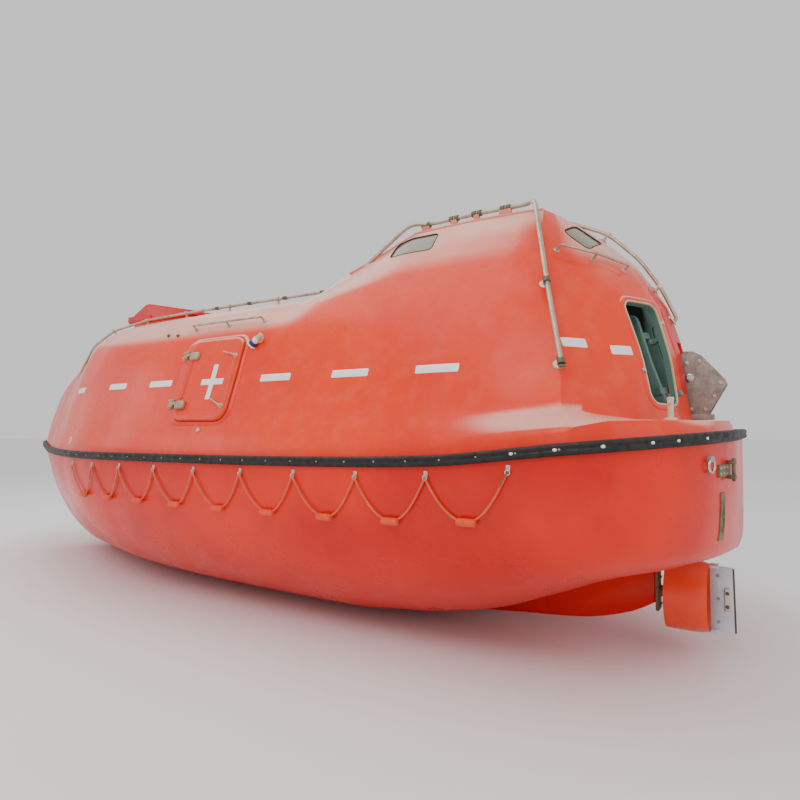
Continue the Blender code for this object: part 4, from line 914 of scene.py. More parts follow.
# the hooks' recesses: a tub behind the skin, hollowed a hair inside the skin's own cut
under_skin = shell_body(dense(grid_offset(TOP_GRID, -0.006), 6, 5), 0.0)
HAIR = Vector((0.0006, 0.0006, 0.0006))
for name, tub, hollow in (("bow_well", BOW_TUB, BOW_HOLLOW), ("stern_recess", STERN_TUB, STERN_HOLLOW)):
    ob = plain_object(name, box_at(*tub), TOP_PAINT)
    shape(ob, under_skin, "INTERSECT", TOP_PAINT)
    shape(ob, box_data(at(*hollow[0]) + HAIR, at(*hollow[1]) - HAIR), "DIFFERENCE", TOP_PAINT)
    finish_piece(ob, "boat")


# Plates and rings that follow a skin
def on_skin(m, x, y, height, tree=top_tree):
    """The skin's point over (x, y) of a frame, lifted along the frame's z."""
    z = m.to_3x3() @ UP
    p = m @ Vector((x, y, 0))
    hit = tree.ray_cast(p + z * 0.12, -z, 0.3)[0]
    return (hit if hit is not None else p) + z * height


def skin_plate(outline, profile, m, tree=top_tree, caps=(-1,), closed=False):
    """A plate on a skin. `outline(inset)` gives a loop; the profile is (inset, height) pairs
    from the edge at the skin to the middle."""
    return sweep([[on_skin(m, x, y, h, tree) for x, y in outline(d)] for d, h in profile], caps, closed)


def skin_ring(outline, profile, m):
    """A closed ring on the canopy; the profile goes round as (inset, height) pairs."""
    return skin_plate(outline, profile, m, caps=(), closed=True)


def rect_line(width, height, radius, steps=6, along=8):
    """Rounded rectangle as a function of inset, with points along its straight sides too."""
    def loop(d):
        w, h, r = width - 2 * d, height - 2 * d, max(radius - d, 0.0004)
        corners = round_rect(w, h, r, steps)
        out = []
        group = steps + 1
        for c in range(4):
            out += corners[c * group:(c + 1) * group]
            a = Vector(corners[(c + 1) * group - 1])
            b = Vector(corners[((c + 1) * group) % len(corners)])
            for k in range(1, along):
                out.append(tuple(a.lerp(b, k / along)))
        return out
    return loop


def tape(name, m, width, height):
    profile = [(0, -0.002), (0, 0.0012), (0.001, 0.0018), (height * 0.42, 0.0018)]
    piece(name, skin_plate(rect_line(width, height, 0.008, 3, 14), profile, m), TAPE, angle=60)


TAPE_Z = 1.73
for tag, side in SIDES:
    for i, x in enumerate((1.46, 0.59, -0.03, -1.28, -1.91, -2.53)):
        tape("tape_%s_%d" % (tag, i), opening_frame(*top_side(x, TAPE_Z, side)), 0.28, 0.052)
    for i, (y, z, wide) in enumerate(((0.98, 1.85, 0.17), (0.742, 1.82, 0.145))):
        hit, normal = top_aft(y * side, z)
        normal.z *= 0.5
        tape("tape_aft_%s_%d" % (tag, i), opening_frame(hit, normal), wide, 0.055)

# Side hatches: a plinth moulded round each, the cover, its hinges, handles and cross of tape
def hatch_loop(side, fore, aft, rise, radius):
    line = rect_line(HATCH_W + fore + aft, HATCH_H + 2 * rise, radius, 8, 6)(0.0)
    return [(x + (aft - fore) / 2 * side, y) for x, y in line]


def hatch_plinth(side):
    """The plinth's loop as a function of the share of the way from its outer edge to its inner."""
    outer = hatch_loop(side, 0.085, 0.034, 0.034, 0.13)
    pairs = list(zip(outer, hatch_loop(side, 0.009, 0.009, 0.009, 0.108)))
    return lambda d: [(a[0] * (1 - d) + b[0] * d, a[1] * (1 - d) + b[1] * d) for a, b in pairs]


PLINTH_PROFILE = [(0.0, -0.004), (0.02, 0.001), (0.30, 0.005), (0.70, 0.011), (0.90, 0.013),
                  (0.985, 0.0125), (1.0, 0.0105), (1.0, -0.004)]
COVER_PROFILE = [(0.006, 0.004), (0.0, 0.007), (0.0, 0.022), (0.003, 0.027), (0.009, 0.030), (0.05, 0.030),
                 (0.056, 0.028), (0.064, 0.027), (0.12, 0.027), (0.19, 0.027), (0.27, 0.027)]
SEAL_PROFILE = [(0.014, 0.0), (0.014, 0.0036), (0.030, 0.0036), (0.030, 0.0)]
RIDGE_PROFILE = [(0, 0.026), (0.001, 0.031), (0.005, 0.0335), (0.012, 0.034)]
BOSS_PROFILE = [(0, 0), (0.020, 0), (0.020, 0.006), (0.013, 0.009), (0.011, 0.022), (0.008, 0.026),
                (0, 0.027)]
CROSS_PROFILE = [(0, 0.026), (0, 0.028), (0.015, 0.0282)]
EAR_FROM, EAR_TO, PIN_R = 0.0150, 0.030, 0.0105
for tag, side in SIDES:
    m = side_frame(HATCH, side)
    out = m.to_3x3() @ UP
    body = "side_hatch_" + tag
    line = rect_line(HATCH_W, HATCH_H, 0.10, 8, 6)
    piece("hatch_cover_" + tag, skin_plate(line, COVER_PROFILE, m), TOP_PAINT, body,
          replaces=(body,))
    # the dark ring under the cover's edge is the seal and a painted shadow line round the cover
    piece("hatch_seal_shadow_" + tag, skin_ring(line, SEAL_PROFILE, m), SEAL_SHADOW_RED)
    piece("hatch_plinth_" + tag, skin_ring(hatch_plinth(side), PLINTH_PROFILE, m), TOP_PAINT, "boat",
          angle=60)
    # hinges: a base on the canopy with two ears, a knuckle and domed strap on the cover, and a pin
    edge_x = -HATCH_W / 2 * side
    fixed, swinging, heads, domes = [], [], [], []

    def block(along0, along1, v0, v1, z0, z1):
        xs = sorted((edge_x + along0 * side, edge_x + along1 * side))
        return moved(box_data((xs[0], v0, z0), (xs[1], v1, z1)), m)

    def pin(v0, v1, radius):
        return rod(m @ Vector((edge_x, v0, HATCH_HINGE)), m @ Vector((edge_x, v1, HATCH_HINGE)), radius)

    for v in (0.20, -0.20):
        fixed.append(block(-0.078, -0.020, v - 0.031, v + 0.031, -0.02, 0.018))
        for end in (1, -1):
            lo, hi = sorted((v + end * EAR_FROM, v + end * EAR_TO))
            fixed += [block(-0.045, -0.002, lo, hi, 0.0, HATCH_HINGE + 0.006),
                      pin(v + end * EAR_FROM, v + end * 0.031, PIN_R),
                      pin(v + end * 0.031, v + end * 0.036, 0.0065)]
        swinging += [pin(v - 0.0142, v + 0.0142, PIN_R),
                     block(0.000, 0.046, v - 0.0135, v + 0.0135, 0.026, HATCH_HINGE + 0.008)]
        domes.append(block(0.040, 0.132, v - 0.044, v + 0.020, 0.022, 0.058))
        heads += [bolt(m @ Vector((edge_x - 0.062 * side, v + 0.017 * s, 0.018)), out, 0.007)
                  for s in (-1, 1)]
    piece("hatch_hinge_base_" + tag, merge(fixed), HINGE_METAL, "boat", bevel=0.0015)
    piece("hatch_hinge_bolts_" + tag, merge(heads), BRIGHT_METAL)
    piece("hatch_strap_" + tag, merge(swinging), HINGE_METAL, body, bevel=0.0015)
    piece("hatch_strap_domes_" + tag, merge(domes), HINGE_METAL, body, bevel=0.015, segments=4)
    ridge = m @ Matrix.Translation((edge_x + 0.058 * side, 0.0, 0))
    piece("hatch_ridge_" + tag, skin_plate(rect_line(0.030, 0.32, 0.012, 4, 8), RIDGE_PROFILE, ridge),
          TOP_PAINT, body, angle=60)
    # two lever handles: a boss near the cover's aft edge and a thin lever that points forward
    for i, (x0, y0, x1, y1) in enumerate(((0.246, 0.168, 0.122, 0.200), (0.236, -0.222, 0.110, -0.166))):
        root = on_skin(m, x0 * side, y0, 0.027)
        tip = on_skin(m, x1 * side, y1, 0.047)
        along = (tip - root).normalized()
        grip = tube(bent([root + out * 0.018, root + out * 0.021 + along * 0.025, tip], 0.015), 0.0048, 12)
        piece("hatch_handle_%s_%d" % (tag, i), merge([lathe(BOSS_PROFILE, frame_to(root, out), 20), grip]),
              RAIL_METAL, body)
    catch = boxes_on(opening_frame(*top_side(-0.652, 1.368, side)),
                     ((-0.020, -0.009, -0.01), (0.020, 0.009, 0.006)),
                     ((-0.008, -0.016, -0.01), (0.008, 0.018, 0.010)))
    piece("hatch_catch_" + tag, merge(catch), BRIGHT_METAL, bevel=0.002)
    # a plain cross of tape: a long upright and a shorter bar in two pieces beside it
    cross = []
    for x, width, height in ((0.0, 0.046, 0.275), (0.0700, 0.094, 0.046), (-0.0700, 0.094, 0.046)):
        bar = m @ Matrix.Translation((0.064 * side, -0.030, 0)) @ Matrix.Translation((x, 0.0, 0))
        cross.append(skin_plate(rect_line(width, height, 0.003, 2, 6), CROSS_PROFILE, bar))
    piece("hatch_cross_" + tag, merge(cross), TAPE, body, angle=60)

# Rub rail: a rounded fender all round, its bolts let into the face
sheer_xs = 3.955 * np.cos(np.linspace(0.0, math.pi, 260))
sheer_y = fair(sheer_xs, BREADTH)
sheer_z = fair(sheer_xs, SHEER)
port_line = [Vector((x, y, z - DRAUGHT)) for x, y, z in zip(sheer_xs, sheer_y, sheer_z)]
port_line = [Vector((3.972, 0.0, 1.18 - DRAUGHT))] + port_line + [Vector((-3.975, 0.30, 1.36 - DRAUGHT))]
port_line.append(Vector((-3.975, 0.0, 1.36 - DRAUGHT)))
RAIL_PROFILE = [(0.0, -0.042), (0.014, -0.042), (0.022, -0.039), (0.027, -0.033), (0.029, -0.024),
                (0.0285, -0.018), (0.0245, -0.014), (0.0245, -0.007), (0.0285, -0.003), (0.028, 0.006),
                (0.025, 0.012), (0.019, 0.017), (0.010, 0.019), (0.0, 0.019)]


def rail_sweep(line):
    rows = []
    for i, p in enumerate(line):
        a, b = line[max(i - 1, 0)], line[min(i + 1, len(line) - 1)]
        tangent = Vector((b.x - a.x, b.y - a.y, 0)).normalized()
        if i in (0, len(line) - 1):
            tangent = Vector((0, 1, 0)) if i == 0 else Vector((0, -1, 0))
        normal = Vector((tangent.y, -tangent.x, 0))
        rows.append([p + normal * d + UP * h for d, h in RAIL_PROFILE])
    rows += [[Vector((v.x, -v.y, v.z)) for v in row] for row in rows[-2:0:-1]]
    return sweep(rows, closed=True)


def rail_stud(x, side, lift, size):
    """A domed stud on the rail's face, and how squarely the face looks sideways there."""
    y = float(fair([x], BREADTH)[0])
    slope = float(fair([x + 0.01], BREADTH)[0] - fair([x - 0.01], BREADTH)[0]) / 0.02
    normal = Vector((-slope, 1.0, 0)).normalized()
    p = Vector((x, y, table(x, SHEER) - DRAUGHT - 0.0105)) + normal * lift
    return dome_bolt((p.x, p.y * side, p.z), (normal.x, normal.y * side, 0), size), normal.y


piece("rub_rail_skin", rail_sweep(port_line), RUBBER, "boat", angle=50,
      replaces=("rub_rail",))
BOLT_GAP = 0.21
rail_bolts, caps = [], []
for side in (1, -1):
    x = 3.60
    while x > -3.5:
        stud, square = rail_stud(x, side, 0.0235, 0.0062)
        rail_bolts.append(stud)
        x -= BOLT_GAP * square
    # round white caps on the rail's after stretch
    caps += [rail_stud(x, side, 0.0240, 0.0105)[0] for x in (-3.073, -3.283, -3.487, -3.667, -3.759, -3.862)]
piece("rub_rail_bolts", merge(rail_bolts), RAIL_METAL)
piece("rub_rail_caps", merge(caps), WHITE_PLASTIC)


# Rails
def flange(hit, normal, radius=0.030):
    m = frame_to(hit - normal * 0.004, normal)
    return lathe([(0, 0), (radius, 0), (radius, 0.007), (radius * 0.9, 0.0095), (radius * 0.5, 0.0105),
                  (radius * 0.42, 0.016), (0, 0.017)], m, 22)


def foot(p, hit, normal, radius, pad=0.030):
    return [flange(hit, normal, pad), rod(hit - normal * 0.002, p, radius * 0.85, 12)]


def clamp(p, direction, radius):
    """A split collar round the tube."""
    m = frame_to(p - direction.normalized() * 0.016, direction)
    inner, outer = radius * 1.02, radius * 1.45
    return lathe([(inner, 0), (outer, 0.002), (outer, 0.030), (inner, 0.032)], m, 18)


def rail_piece(node, tag, parts):
    piece(node + "_tube" + tag, merge(parts), RAIL_METAL, "boat", replaces=(node + tag,))


TOP_RAIL_X = (2.10, 1.75, 1.2, 0.6, 0.0, -0.6, -1.10)
TOP_RAIL_Y, TOP_RAIL_UP = 0.47, 0.046
TOWER_RAIL_UP, GRAB_UP = 0.055, 0.05
for tag, side in SIDES:
    line, parts, collars, blocks, stubs = [], [], [], [], []
    for i, x in enumerate(TOP_RAIL_X):
        hit, normal = top_above(x, TOP_RAIL_Y * side)
        p = hit + normal * TOP_RAIL_UP
        line.append(p)
        if 0 < i < len(TOP_RAIL_X) - 1:
            parts += foot(p, hit, normal, 0.010)
            collars.append(clamp(p, X_AXIS, 0.0125))
    first, fn = top_above(2.45, TOP_RAIL_Y * side)
    last, ln = top_above(-1.22, TOP_RAIL_Y * side)
    line = [first + fn * 0.002] + line + [last + ln * 0.002]
    parts += [flange(first, fn, 0.026), flange(last, ln, 0.026), tube(curve(bent(line, 0.09)), 0.0120)]
    rail_piece("top_rail", "_" + tag, parts)
    for x in (0.16, -0.26, -0.68, -1.09):
        hit, normal = top_above(x, TOP_RAIL_Y * side)
        p = hit + normal * TOP_RAIL_UP
        blocks.append(box_data(p + Vector((-0.024, -0.014, -0.014)), p + Vector((0.024, 0.014, 0.013))))
    piece("top_rail_clamps_" + tag, merge(blocks), DARK_METAL, "boat", bevel=0.004)
    piece("top_rail_collars_" + tag, merge(collars), RAIL_METAL, "boat")

    # tower rail: up the front slope, along the roof and down the aft corner
    start, sn = top_above(-1.66, 0.66 * side)
    line = [start + sn * 0.002, at(-1.99, 0.60 * side, 2.832)]
    parts, collars = [flange(start, sn, 0.034)], []
    for x, y in ((-2.14, 0.57), (-2.50, 0.57), (-2.85, 0.565)):
        line.append(top_above(x, y * side)[0] + UP * TOWER_RAIL_UP)
    line.append(at(-2.935, 0.66 * side, 2.80))
    out = Vector((-0.5, 0.85 * side, 0.15)).normalized()
    run = at(-3.235, 1.15 * side, 1.725) - at(-3.07, 0.90 * side, 2.20)
    for x, y, z in ((-3.07, 0.90, 2.20), (-3.235, 1.15, 1.725)):
        hit, normal = seat(top_tree, at(x, y * side, z) + out, -out)
        p = hit + out * TOWER_RAIL_UP
        line.append(p)
        parts += foot(p, hit, normal, 0.012)
        collars.append(clamp(p, run, 0.0145))
        for s in (1, -1):
            collars += boxes_on(frame_to(p + run.normalized() * 0.026 * s, out),
                                ((-0.006, -0.016, -0.010), (0.006, 0.016, 0.010)))
    rail_piece("tower_rail", "_" + tag, parts + [tube(bent(line, 0.07, 7), 0.0140, 16)])
    for x, wide in ((-2.11, 0.030), (-2.33, 0.024), (-2.50, 0.020), (-2.705, 0.042)):
        hit = top_above(x, 0.57 * side)[0]
        stubs.append(box_data(hit + Vector((-wide, -0.018, -0.006)), hit + Vector((wide, 0.018, 0.046))))
        for shift in (0.02, -0.02):
            collars.append(clamp(hit + Vector((shift, 0, TOWER_RAIL_UP)), X_AXIS, 0.0145))
    piece("tower_rail_stubs_" + tag, merge(stubs), PINK_PAINT, "boat", bevel=0.006)
    piece("tower_rail_collars_" + tag, merge(collars), DARK_METAL, "boat")

    # grab rails over the side hatch and under the aft window
    for node, seats in (("hatch_grab", [top_side(x, 2.17, side) for x in (-0.22, -0.60, -0.98)]),
                        ("aft_grab", [top_aft(y * side, z) for y, z in ((0.70, 2.45), (0.52, 2.41),
                                                                       (0.34, 2.36))])):
        line, parts = [], []
        for hit, normal in seats:
            line.append(hit + normal * GRAB_UP)
            parts += foot(line[-1], hit, normal, 0.008, 0.020)
        rail_piece(node, "_" + tag, parts + [tube(curve(line), 0.0088, 12)])

    # the lip along the edge of the tower's roof
    lip = [at(x, y * side, z) for x, y, z in (
        (-1.50, 0.655, 2.53), (-1.80, 0.633, 2.64), (-2.06, 0.617, 2.748), (-2.30, 0.614, 2.754),
        (-2.60, 0.612, 2.757), (-2.85, 0.608, 2.753), (-2.965, 0.598, 2.748))]
    piece("roof_lip_" + tag, tube(lip, 0.012, 12), PINK_PAINT, "boat")

aft_line, parts, collars = [], [], []
direction = Vector((-0.75, 0, 0.66))
for x, z, lift, footed in ((-3.22, 2.70, 0.055, True), (-3.42, 2.50, 0.045, False),
                           (-3.55, 2.32, 0.040, True), (-3.64, 2.10, 0.030, False)):
    hit, normal = seat(top_tree, at(x, 0, z) + direction * 0.5, -direction)
    p = hit + normal * lift
    aft_line.append(p)
    if footed:
        parts += foot(p, hit, normal, 0.011)
        collars.append(clamp(p, Vector((-0.7, 0, -0.7)), 0.0125))
aft_line = [at(-2.92, 0, 2.78), at(-2.94, 0, 2.845)] + aft_line + [at(-3.60, 0, 2.06)]
rail_piece("aft_rail", "", parts + [tube(curve(bent(aft_line, 0.08), 0.03), 0.0120)])
piece("aft_rail_collars", merge(collars), CREAM_PAINT)

# Windows: a thin gasket round each flush pane
GASKET_PROFILE = [(0.0, -0.002), (0.0, 0.0016), (0.002, 0.0028), (0.0055, 0.0028), (0.0085, -0.0035),
                  (0.0085, -0.012), (0.0042, -0.012)]
PANE_PROFILE = [(0.05, -0.014), (0.0, -0.014), (0.0, -0.0072), (0.0012, -0.0060), (0.02, -0.0060),
                (0.05, -0.0060)]
for kind, ((point, normal), up, width, height) in WINDOWS.items():
    for tag, side in SIDES:
        name = "_%s_%s" % (kind, tag)
        m = side_frame(opening_frame(point, normal, up), side)
        piece("window_rubber" + name, skin_ring(rect_line(width + 0.008, height + 0.008, 0.034, 7, 8),
                                                GASKET_PROFILE, m), GASKET, "boat")
        pane = skin_plate(rect_line(width - 0.004, height - 0.004, 0.03), PANE_PROFILE, m, caps=(0, -1))
        piece("glass" + name, pane, GLASS, "boat", replaces=("pane" + name,))

# Aft doorways: metal rims, catches, and leaves with handles
RIM_PROFILE = [(-0.007, -0.002), (-0.007, 0.0025), (-0.005, 0.004), (0.000, 0.004), (0.002, 0.002),
               (0.002, -0.008), (0.0, -0.008), (0.0, -0.002)]
SURROUND_PROFILE = [(0.0, -0.004), (0.004, 0.003), (0.012, 0.0045), (0.028, 0.0045), (0.033, 0.0020),
                    (0.033, -0.004)]
HANDLE_PROFILE = [(0, 0), (0.016, 0), (0.016, 0.004), (0.009, 0.007), (0.008, 0.014), (0, 0.015)]
LEAF_STORED = math.radians(-95.0)
for tag, side in SIDES:
    m = side_frame(AFT, side)
    d = side_frame(DOORWAY, side)
    piece("door_rim_" + tag, skin_ring(rect_line(AFT_W, AFT_H, 0.07, 8, 6), RIM_PROFILE, d), CREAM_PAINT,
          "boat")
    piece("door_surround_" + tag, skin_ring(rect_line(AFT_W + 0.08, AFT_H + 0.08, 0.10, 8, 6),
                                            SURROUND_PROFILE, d), TOP_PAINT, "boat", angle=60)
    for i, (x, y) in enumerate(((-AFT_W / 2 * side, -0.13), (AFT_W / 2 * side, 0.20))):
        hit = on_skin(d, x + math.copysign(0.022, x), y, 0.0)
        catch = boxes_on(opening_frame(hit, d.to_3x3() @ UP),
                         ((-0.016, -0.009, -0.01), (0.016, 0.009, 0.009)),
                         ((-0.006, -0.015, 0.0), (0.006, 0.015, 0.015)))
        piece("door_catch_%s_%d" % (tag, i), merge(catch), BRIGHT_METAL, bevel=0.002)
    # leaf furniture, made for the shut leaf; the port leaf is stored open, so its own is swung there
    joint = JOINTS["aft_door_%s_hinge" % tag]
    pin = Vector(joint["pos_m"])
    turn = Matrix.Rotation(LEAF_STORED if side > 0 else 0.0, 4, Vector(joint["axis"]))
    swing = Matrix.Translation(pin) @ turn @ Matrix.Translation(-pin)
    body = "aft_door_" + tag
    out = m.to_3x3() @ UP
    furniture, brackets = [], []
    for y in (0.10, -0.12):
        root = m @ Vector((-0.115 * side, y, -0.019))
        tip = root + out * 0.012 + (m.to_3x3() @ Vector((0.09 * side, 0, 0)))
        furniture.append(lathe(HANDLE_PROFILE, frame_to(root, out), 18))
        furniture.append(rod(root + out * 0.010, tip, 0.0045, 12))
    piece("leaf_handles_" + tag, moved(merge(furniture), swing), BRIGHT_METAL, body)
    repaint(body, INSIDE_PAINT)
    # brackets that carry the leaf's pins; the lower one comes out through the wall, which bends there
    hinge_x = (AFT_W / 2 - 0.006) * side
    for y in (0.1435, -0.2165):
        for near, far, half, low, high in ((-0.010, 0.045, 0.016, -0.106, -0.086),
                                           (0.014, 0.043, 0.015, -0.104, -0.028)):
            xs = sorted((hinge_x + near * side, hinge_x + far * side))
            brackets += boxes_on(m, ((xs[0], y - half, low), (xs[1], y + half, high)))
    piece("leaf_brackets_" + tag, merge(brackets), INSIDE_PAINT, "boat", bevel=0.002)

# the strip of wall between the aft doorways is laid over with a plate in the cover's purer red, painted
# shade of this face, open where the hook's recess is
PANEL_PROFILE = [(0.0, -0.003), (0.002, 0.0015), (0.006, 0.003), (0.03, 0.003), (0.08, 0.003), (0.14, 0.003),
                 (0.19, 0.003)]
PANEL_GAP = 0.0005
strip = skin_plate(rect_line(0.40, 0.72, 0.05), PANEL_PROFILE, opening_frame(*top_aft(0.0, 1.95)))
strip[1].append(tuple(reversed(range(len(strip[0]) // len(PANEL_PROFILE)))))
shaded_red_panel = plain_object("aft_shaded_red_panel", strip, RED_PAINT)
half_gap, gap_top = STERN_HOLLOW[1][1] + PANEL_GAP, STERN_HOLLOW[1][2] + PANEL_GAP
shape(shaded_red_panel, box_at((-4.2, -half_gap, 1.30), (-3.3, half_gap, gap_top)), "DIFFERENCE", RED_PAINT)
finish_piece(shaded_red_panel, "boat", 60)

hm = opening_frame(*top_aft(0.0460, 2.086))
handle = boxes_on(hm, ((-0.026, -0.008, -0.004), (0.026, 0.008, 0.008)))
handle.append(rod(hm @ Vector((0, 0, 0.006)), hm @ Vector((0.012, -0.05, 0.020)), 0.006, 12))
piece("aft_panel_handle", merge(handle), BRIGHT_METAL, bevel=0.002)

# Fore hatch: the red cover, its coaming and hinge
wedge = [(LID_AFT, 2.486), (LID_FORE, 2.486), (LID_FORE - 0.02, 2.53), (1.42, 2.66), (1.36, 2.668),
         (LID_AFT + 0.02, 2.535)]
piece("fore_cover", side_prism(wedge, -LID_HALF, LID_HALF), RED_PAINT, "fore_lid",
      bevel=0.012, segments=4, replaces=("fore_lid",))
pads = []
for s in (1, -1):
    for outline in ([(1.30, 2.495), (1.70, 2.495), (1.695, 2.555), (1.32, 2.545)],
                    [(0.68, 2.495), (0.92, 2.495), (0.90, 2.540), (0.70, 2.530)]):
        pads.append(side_prism(outline, s * LID_HALF, s * (LID_HALF + 0.012)))
piece("fore_cover_pads", merge(pads), RED_PAINT, "fore_lid", bevel=0.003)
repaint("fore_coaming", TOP_PAINT)
lid_fixed, lid_moving = [], []
for y in (0.20, -0.20):
    px, _, pz = at(LID_AFT - 0.02, y, 2.50)
    for end in (1, -1):
        a, b = y + end * EAR_FROM, y + end * EAR_TO
        lid_fixed.append(rod((px, a, pz), (px, b, pz), PIN_R))
        lid_fixed.append(box_data((px - 0.010, min(a, b), pz - 0.035), (px + 0.004, max(a, b), pz)))
    lid_fixed.append(box_data((px - 0.045, y - 0.034, pz - 0.036), (px + 0.012, y + 0.034, pz - 0.022)))
    lid_moving.append(rod((px, y - 0.0142, pz), (px, y + 0.0142, pz), 0.0100))
    lid_moving.append(box_data((px, y - 0.0138, pz - 0.008), (px + 0.045, y + 0.0138, pz + 0.002)))
piece("fore_hinge_fixed", merge(lid_fixed), RAIL_METAL, "boat", bevel=0.0012)
piece("fore_hinge_leaf", merge(lid_moving), RAIL_METAL, "fore_lid", bevel=0.0012)
# small dark fittings on the slope below the cover, port side
small = []
for x, z in ((0.112, 2.144), (-0.021, 2.134)):
    small.append(lathe([(0, -0.002), (0.014, -0.002), (0.014, 0.012), (0.009, 0.016), (0, 0.017)],
                       frame_to(*top_side(x, z)), 16))
piece("slope_fittings", merge(small), DARK_METAL)


# Release hooks
PLATE_IN, PLATE_OUT = 0.045, 0.057


def hook_dress(tag, outline, pin, form, base, bolts_at):
    """A hook between its two side plates, with their base, their bolts and the pin."""
    plates = [side_prism(outline, PLATE_IN, PLATE_OUT), side_prism(outline, -PLATE_OUT, -PLATE_IN),
              box_at(*base)]
    piece(tag + "_plates", merge(plates), HOOK_METAL, "boat", bevel=0.0025,
          replaces=(tag + "_hook_plates",))
    heads = [bolt(at(x, PLATE_OUT * side, z), (0, side, 0), 0.010) for side in (1, -1) for x, z in bolts_at]
    piece(tag + "_plate_bolts", merge(heads), RAIL_METAL, "boat")
    pins = [lathe([(0, 0), (0.013, 0), (0.016, 0.003), (0.016, 0.147), (0.013, 0.150), (0, 0.150)],
                  frame_to(at(pin[0], -0.075, pin[1]), (0, 1, 0)))]
    pins += [lathe([(0.026, 0), (0.026, 0.006), (0.022, 0.009), (0.016, 0.009)],
                   frame_to(at(pin[0], PLATE_OUT * side, pin[1]), (0, side, 0))) for side in (1, -1)]
    piece(tag + "_pin", merge(pins), BRIGHT_METAL)
    piece(tag + "_hook_skin", side_prism(form, -0.028, 0.028), ZINC, tag + "_hook",
          bevel=0.006, segments=3, replaces=(tag + "_hook",))


hook_dress("stern", [(-3.66, 1.45), (-3.808, 1.456), (-3.917, 1.653), (-3.905, 1.69), (-3.78, 1.84),
                     (-3.735, 1.866), (-3.685, 1.869), (-3.64, 1.82), (-3.655, 1.62)],
           (-3.713, 1.70),
           [(-3.678, 1.68), (-3.703, 1.655), (-3.783, 1.64), (-3.838, 1.68), (-3.833, 1.75),
            (-3.803, 1.765), (-3.793, 1.74), (-3.808, 1.70), (-3.773, 1.675), (-3.733, 1.725),
            (-3.693, 1.73)],
           ((-3.84, -0.075, 1.4368), (-3.64, 0.075, 1.472)),
           ((-3.885, 1.66), (-3.85, 1.58), (-3.80, 1.50), (-3.72, 1.50), (-3.70, 1.79), (-3.77, 1.80)))
hook_dress("bow", [(2.42, 2.05), (2.42, 2.26), (2.50, 2.38), (2.60, 2.38), (2.74, 2.22), (2.74, 2.05)],
           (2.545, 2.25),
           [(2.52, 2.22), (2.55, 2.20), (2.63, 2.24), (2.69, 2.33), (2.67, 2.42), (2.63, 2.44),
            (2.625, 2.40), (2.645, 2.34), (2.60, 2.29), (2.56, 2.30), (2.535, 2.30), (2.51, 2.26)],
           ((2.42, -0.075, 2.0203), (2.76, 0.075, 2.08)),
           ((2.47, 2.12), (2.55, 2.12), (2.66, 2.12), (2.69, 2.20), (2.47, 2.20)))

# Stern posts with a crossbar
POST_X, POST_Y, POST_LOW = -3.70, 0.74, 1.434
POST_PROFILE = [(0, -0.010), (0.035, -0.010), (0.035, 0.006), (0.029, 0.009), (0.020, 0.011),
                (0.0165, 0.014), (0.0165, 0.104), (0.019, 0.107), (0.019, 0.116), (0.015, 0.120), (0, 0.121)]
BAR_PROFILE = [(0, 0), (0.009, 0), (0.011, 0.003), (0.011, 0.012), (0.009, 0.016), (0.009, 0.074),
               (0.011, 0.078), (0.011, 0.087), (0.009, 0.090), (0, 0.090)]
for tag, side in SIDES:
    y = POST_Y * side
    post = lathe(POST_PROFILE, frame_to(at(POST_X, y, POST_LOW), UP))
    bar = lathe(BAR_PROFILE, frame_to(at(POST_X, y - 0.045, 1.53), (0, 1, 0)), 16)
    piece("stern_bollard_" + tag, merge([post, bar]), CREAM_PAINT, "boat",
          replaces=("stern_post_" + tag,))
    heads = [bolt(at(POST_X + 0.028 * math.cos(a), y + 0.028 * math.sin(a), POST_LOW + 0.007), UP, 0.004)
             for a in (0.6, 2.2, 3.8, 5.4)]
    piece("stern_bollard_bolts_" + tag, merge(heads), BRIGHT_METAL)

# Lamp beside the port hatch
hit, normal = top_side(-1.03, 2.02)
socket = lathe([(0, -0.004), (0.030, -0.004), (0.030, 0.004), (0.022, 0.007), (0.018, 0.010), (0.018, 0.030),
                (0, 0.031)], frame_to(hit, normal), 22)
lamp_top = Vector((-1.078, hit.y + 0.036, 2.052 - DRAUGHT))
lamp_dir = Vector((0.112, 0, -0.079)).normalized()
lamp = frame_to(lamp_top, lamp_dir)
arm = rod(hit + normal * 0.02, lamp_top + lamp_dir * 0.02, 0.010, 14)
neck = lathe([(0, 0), (0.014, 0.001), (0.019, 0.006), (0.019, 0.034), (0.022, 0.038), (0.022, 0.052),
              (0, 0.053)], lamp)
piece("lamp_bracket", merge([socket, arm, neck]), CREAM_PAINT, "boat", replaces=("lamp_socket",))
for name, mat, profile in (
        ("body", WHITE_PLASTIC, [(0, 0.050), (0.022, 0.050), (0.024, 0.054), (0.025, 0.084), (0.024, 0.086),
                                 (0, 0.086)]),
        ("band", NAVY_PLASTIC, [(0, 0.085), (0.027, 0.085), (0.028, 0.088), (0.031, 0.112), (0.031, 0.114),
                                (0, 0.114)]),
        ("foot", WHITE_PLASTIC, [(0, 0.113), (0.035, 0.113), (0.038, 0.115), (0.038, 0.122), (0.034, 0.125),
                                 (0, 0.126)])):
    piece("lamp_" + name, lathe(profile, lamp), mat)

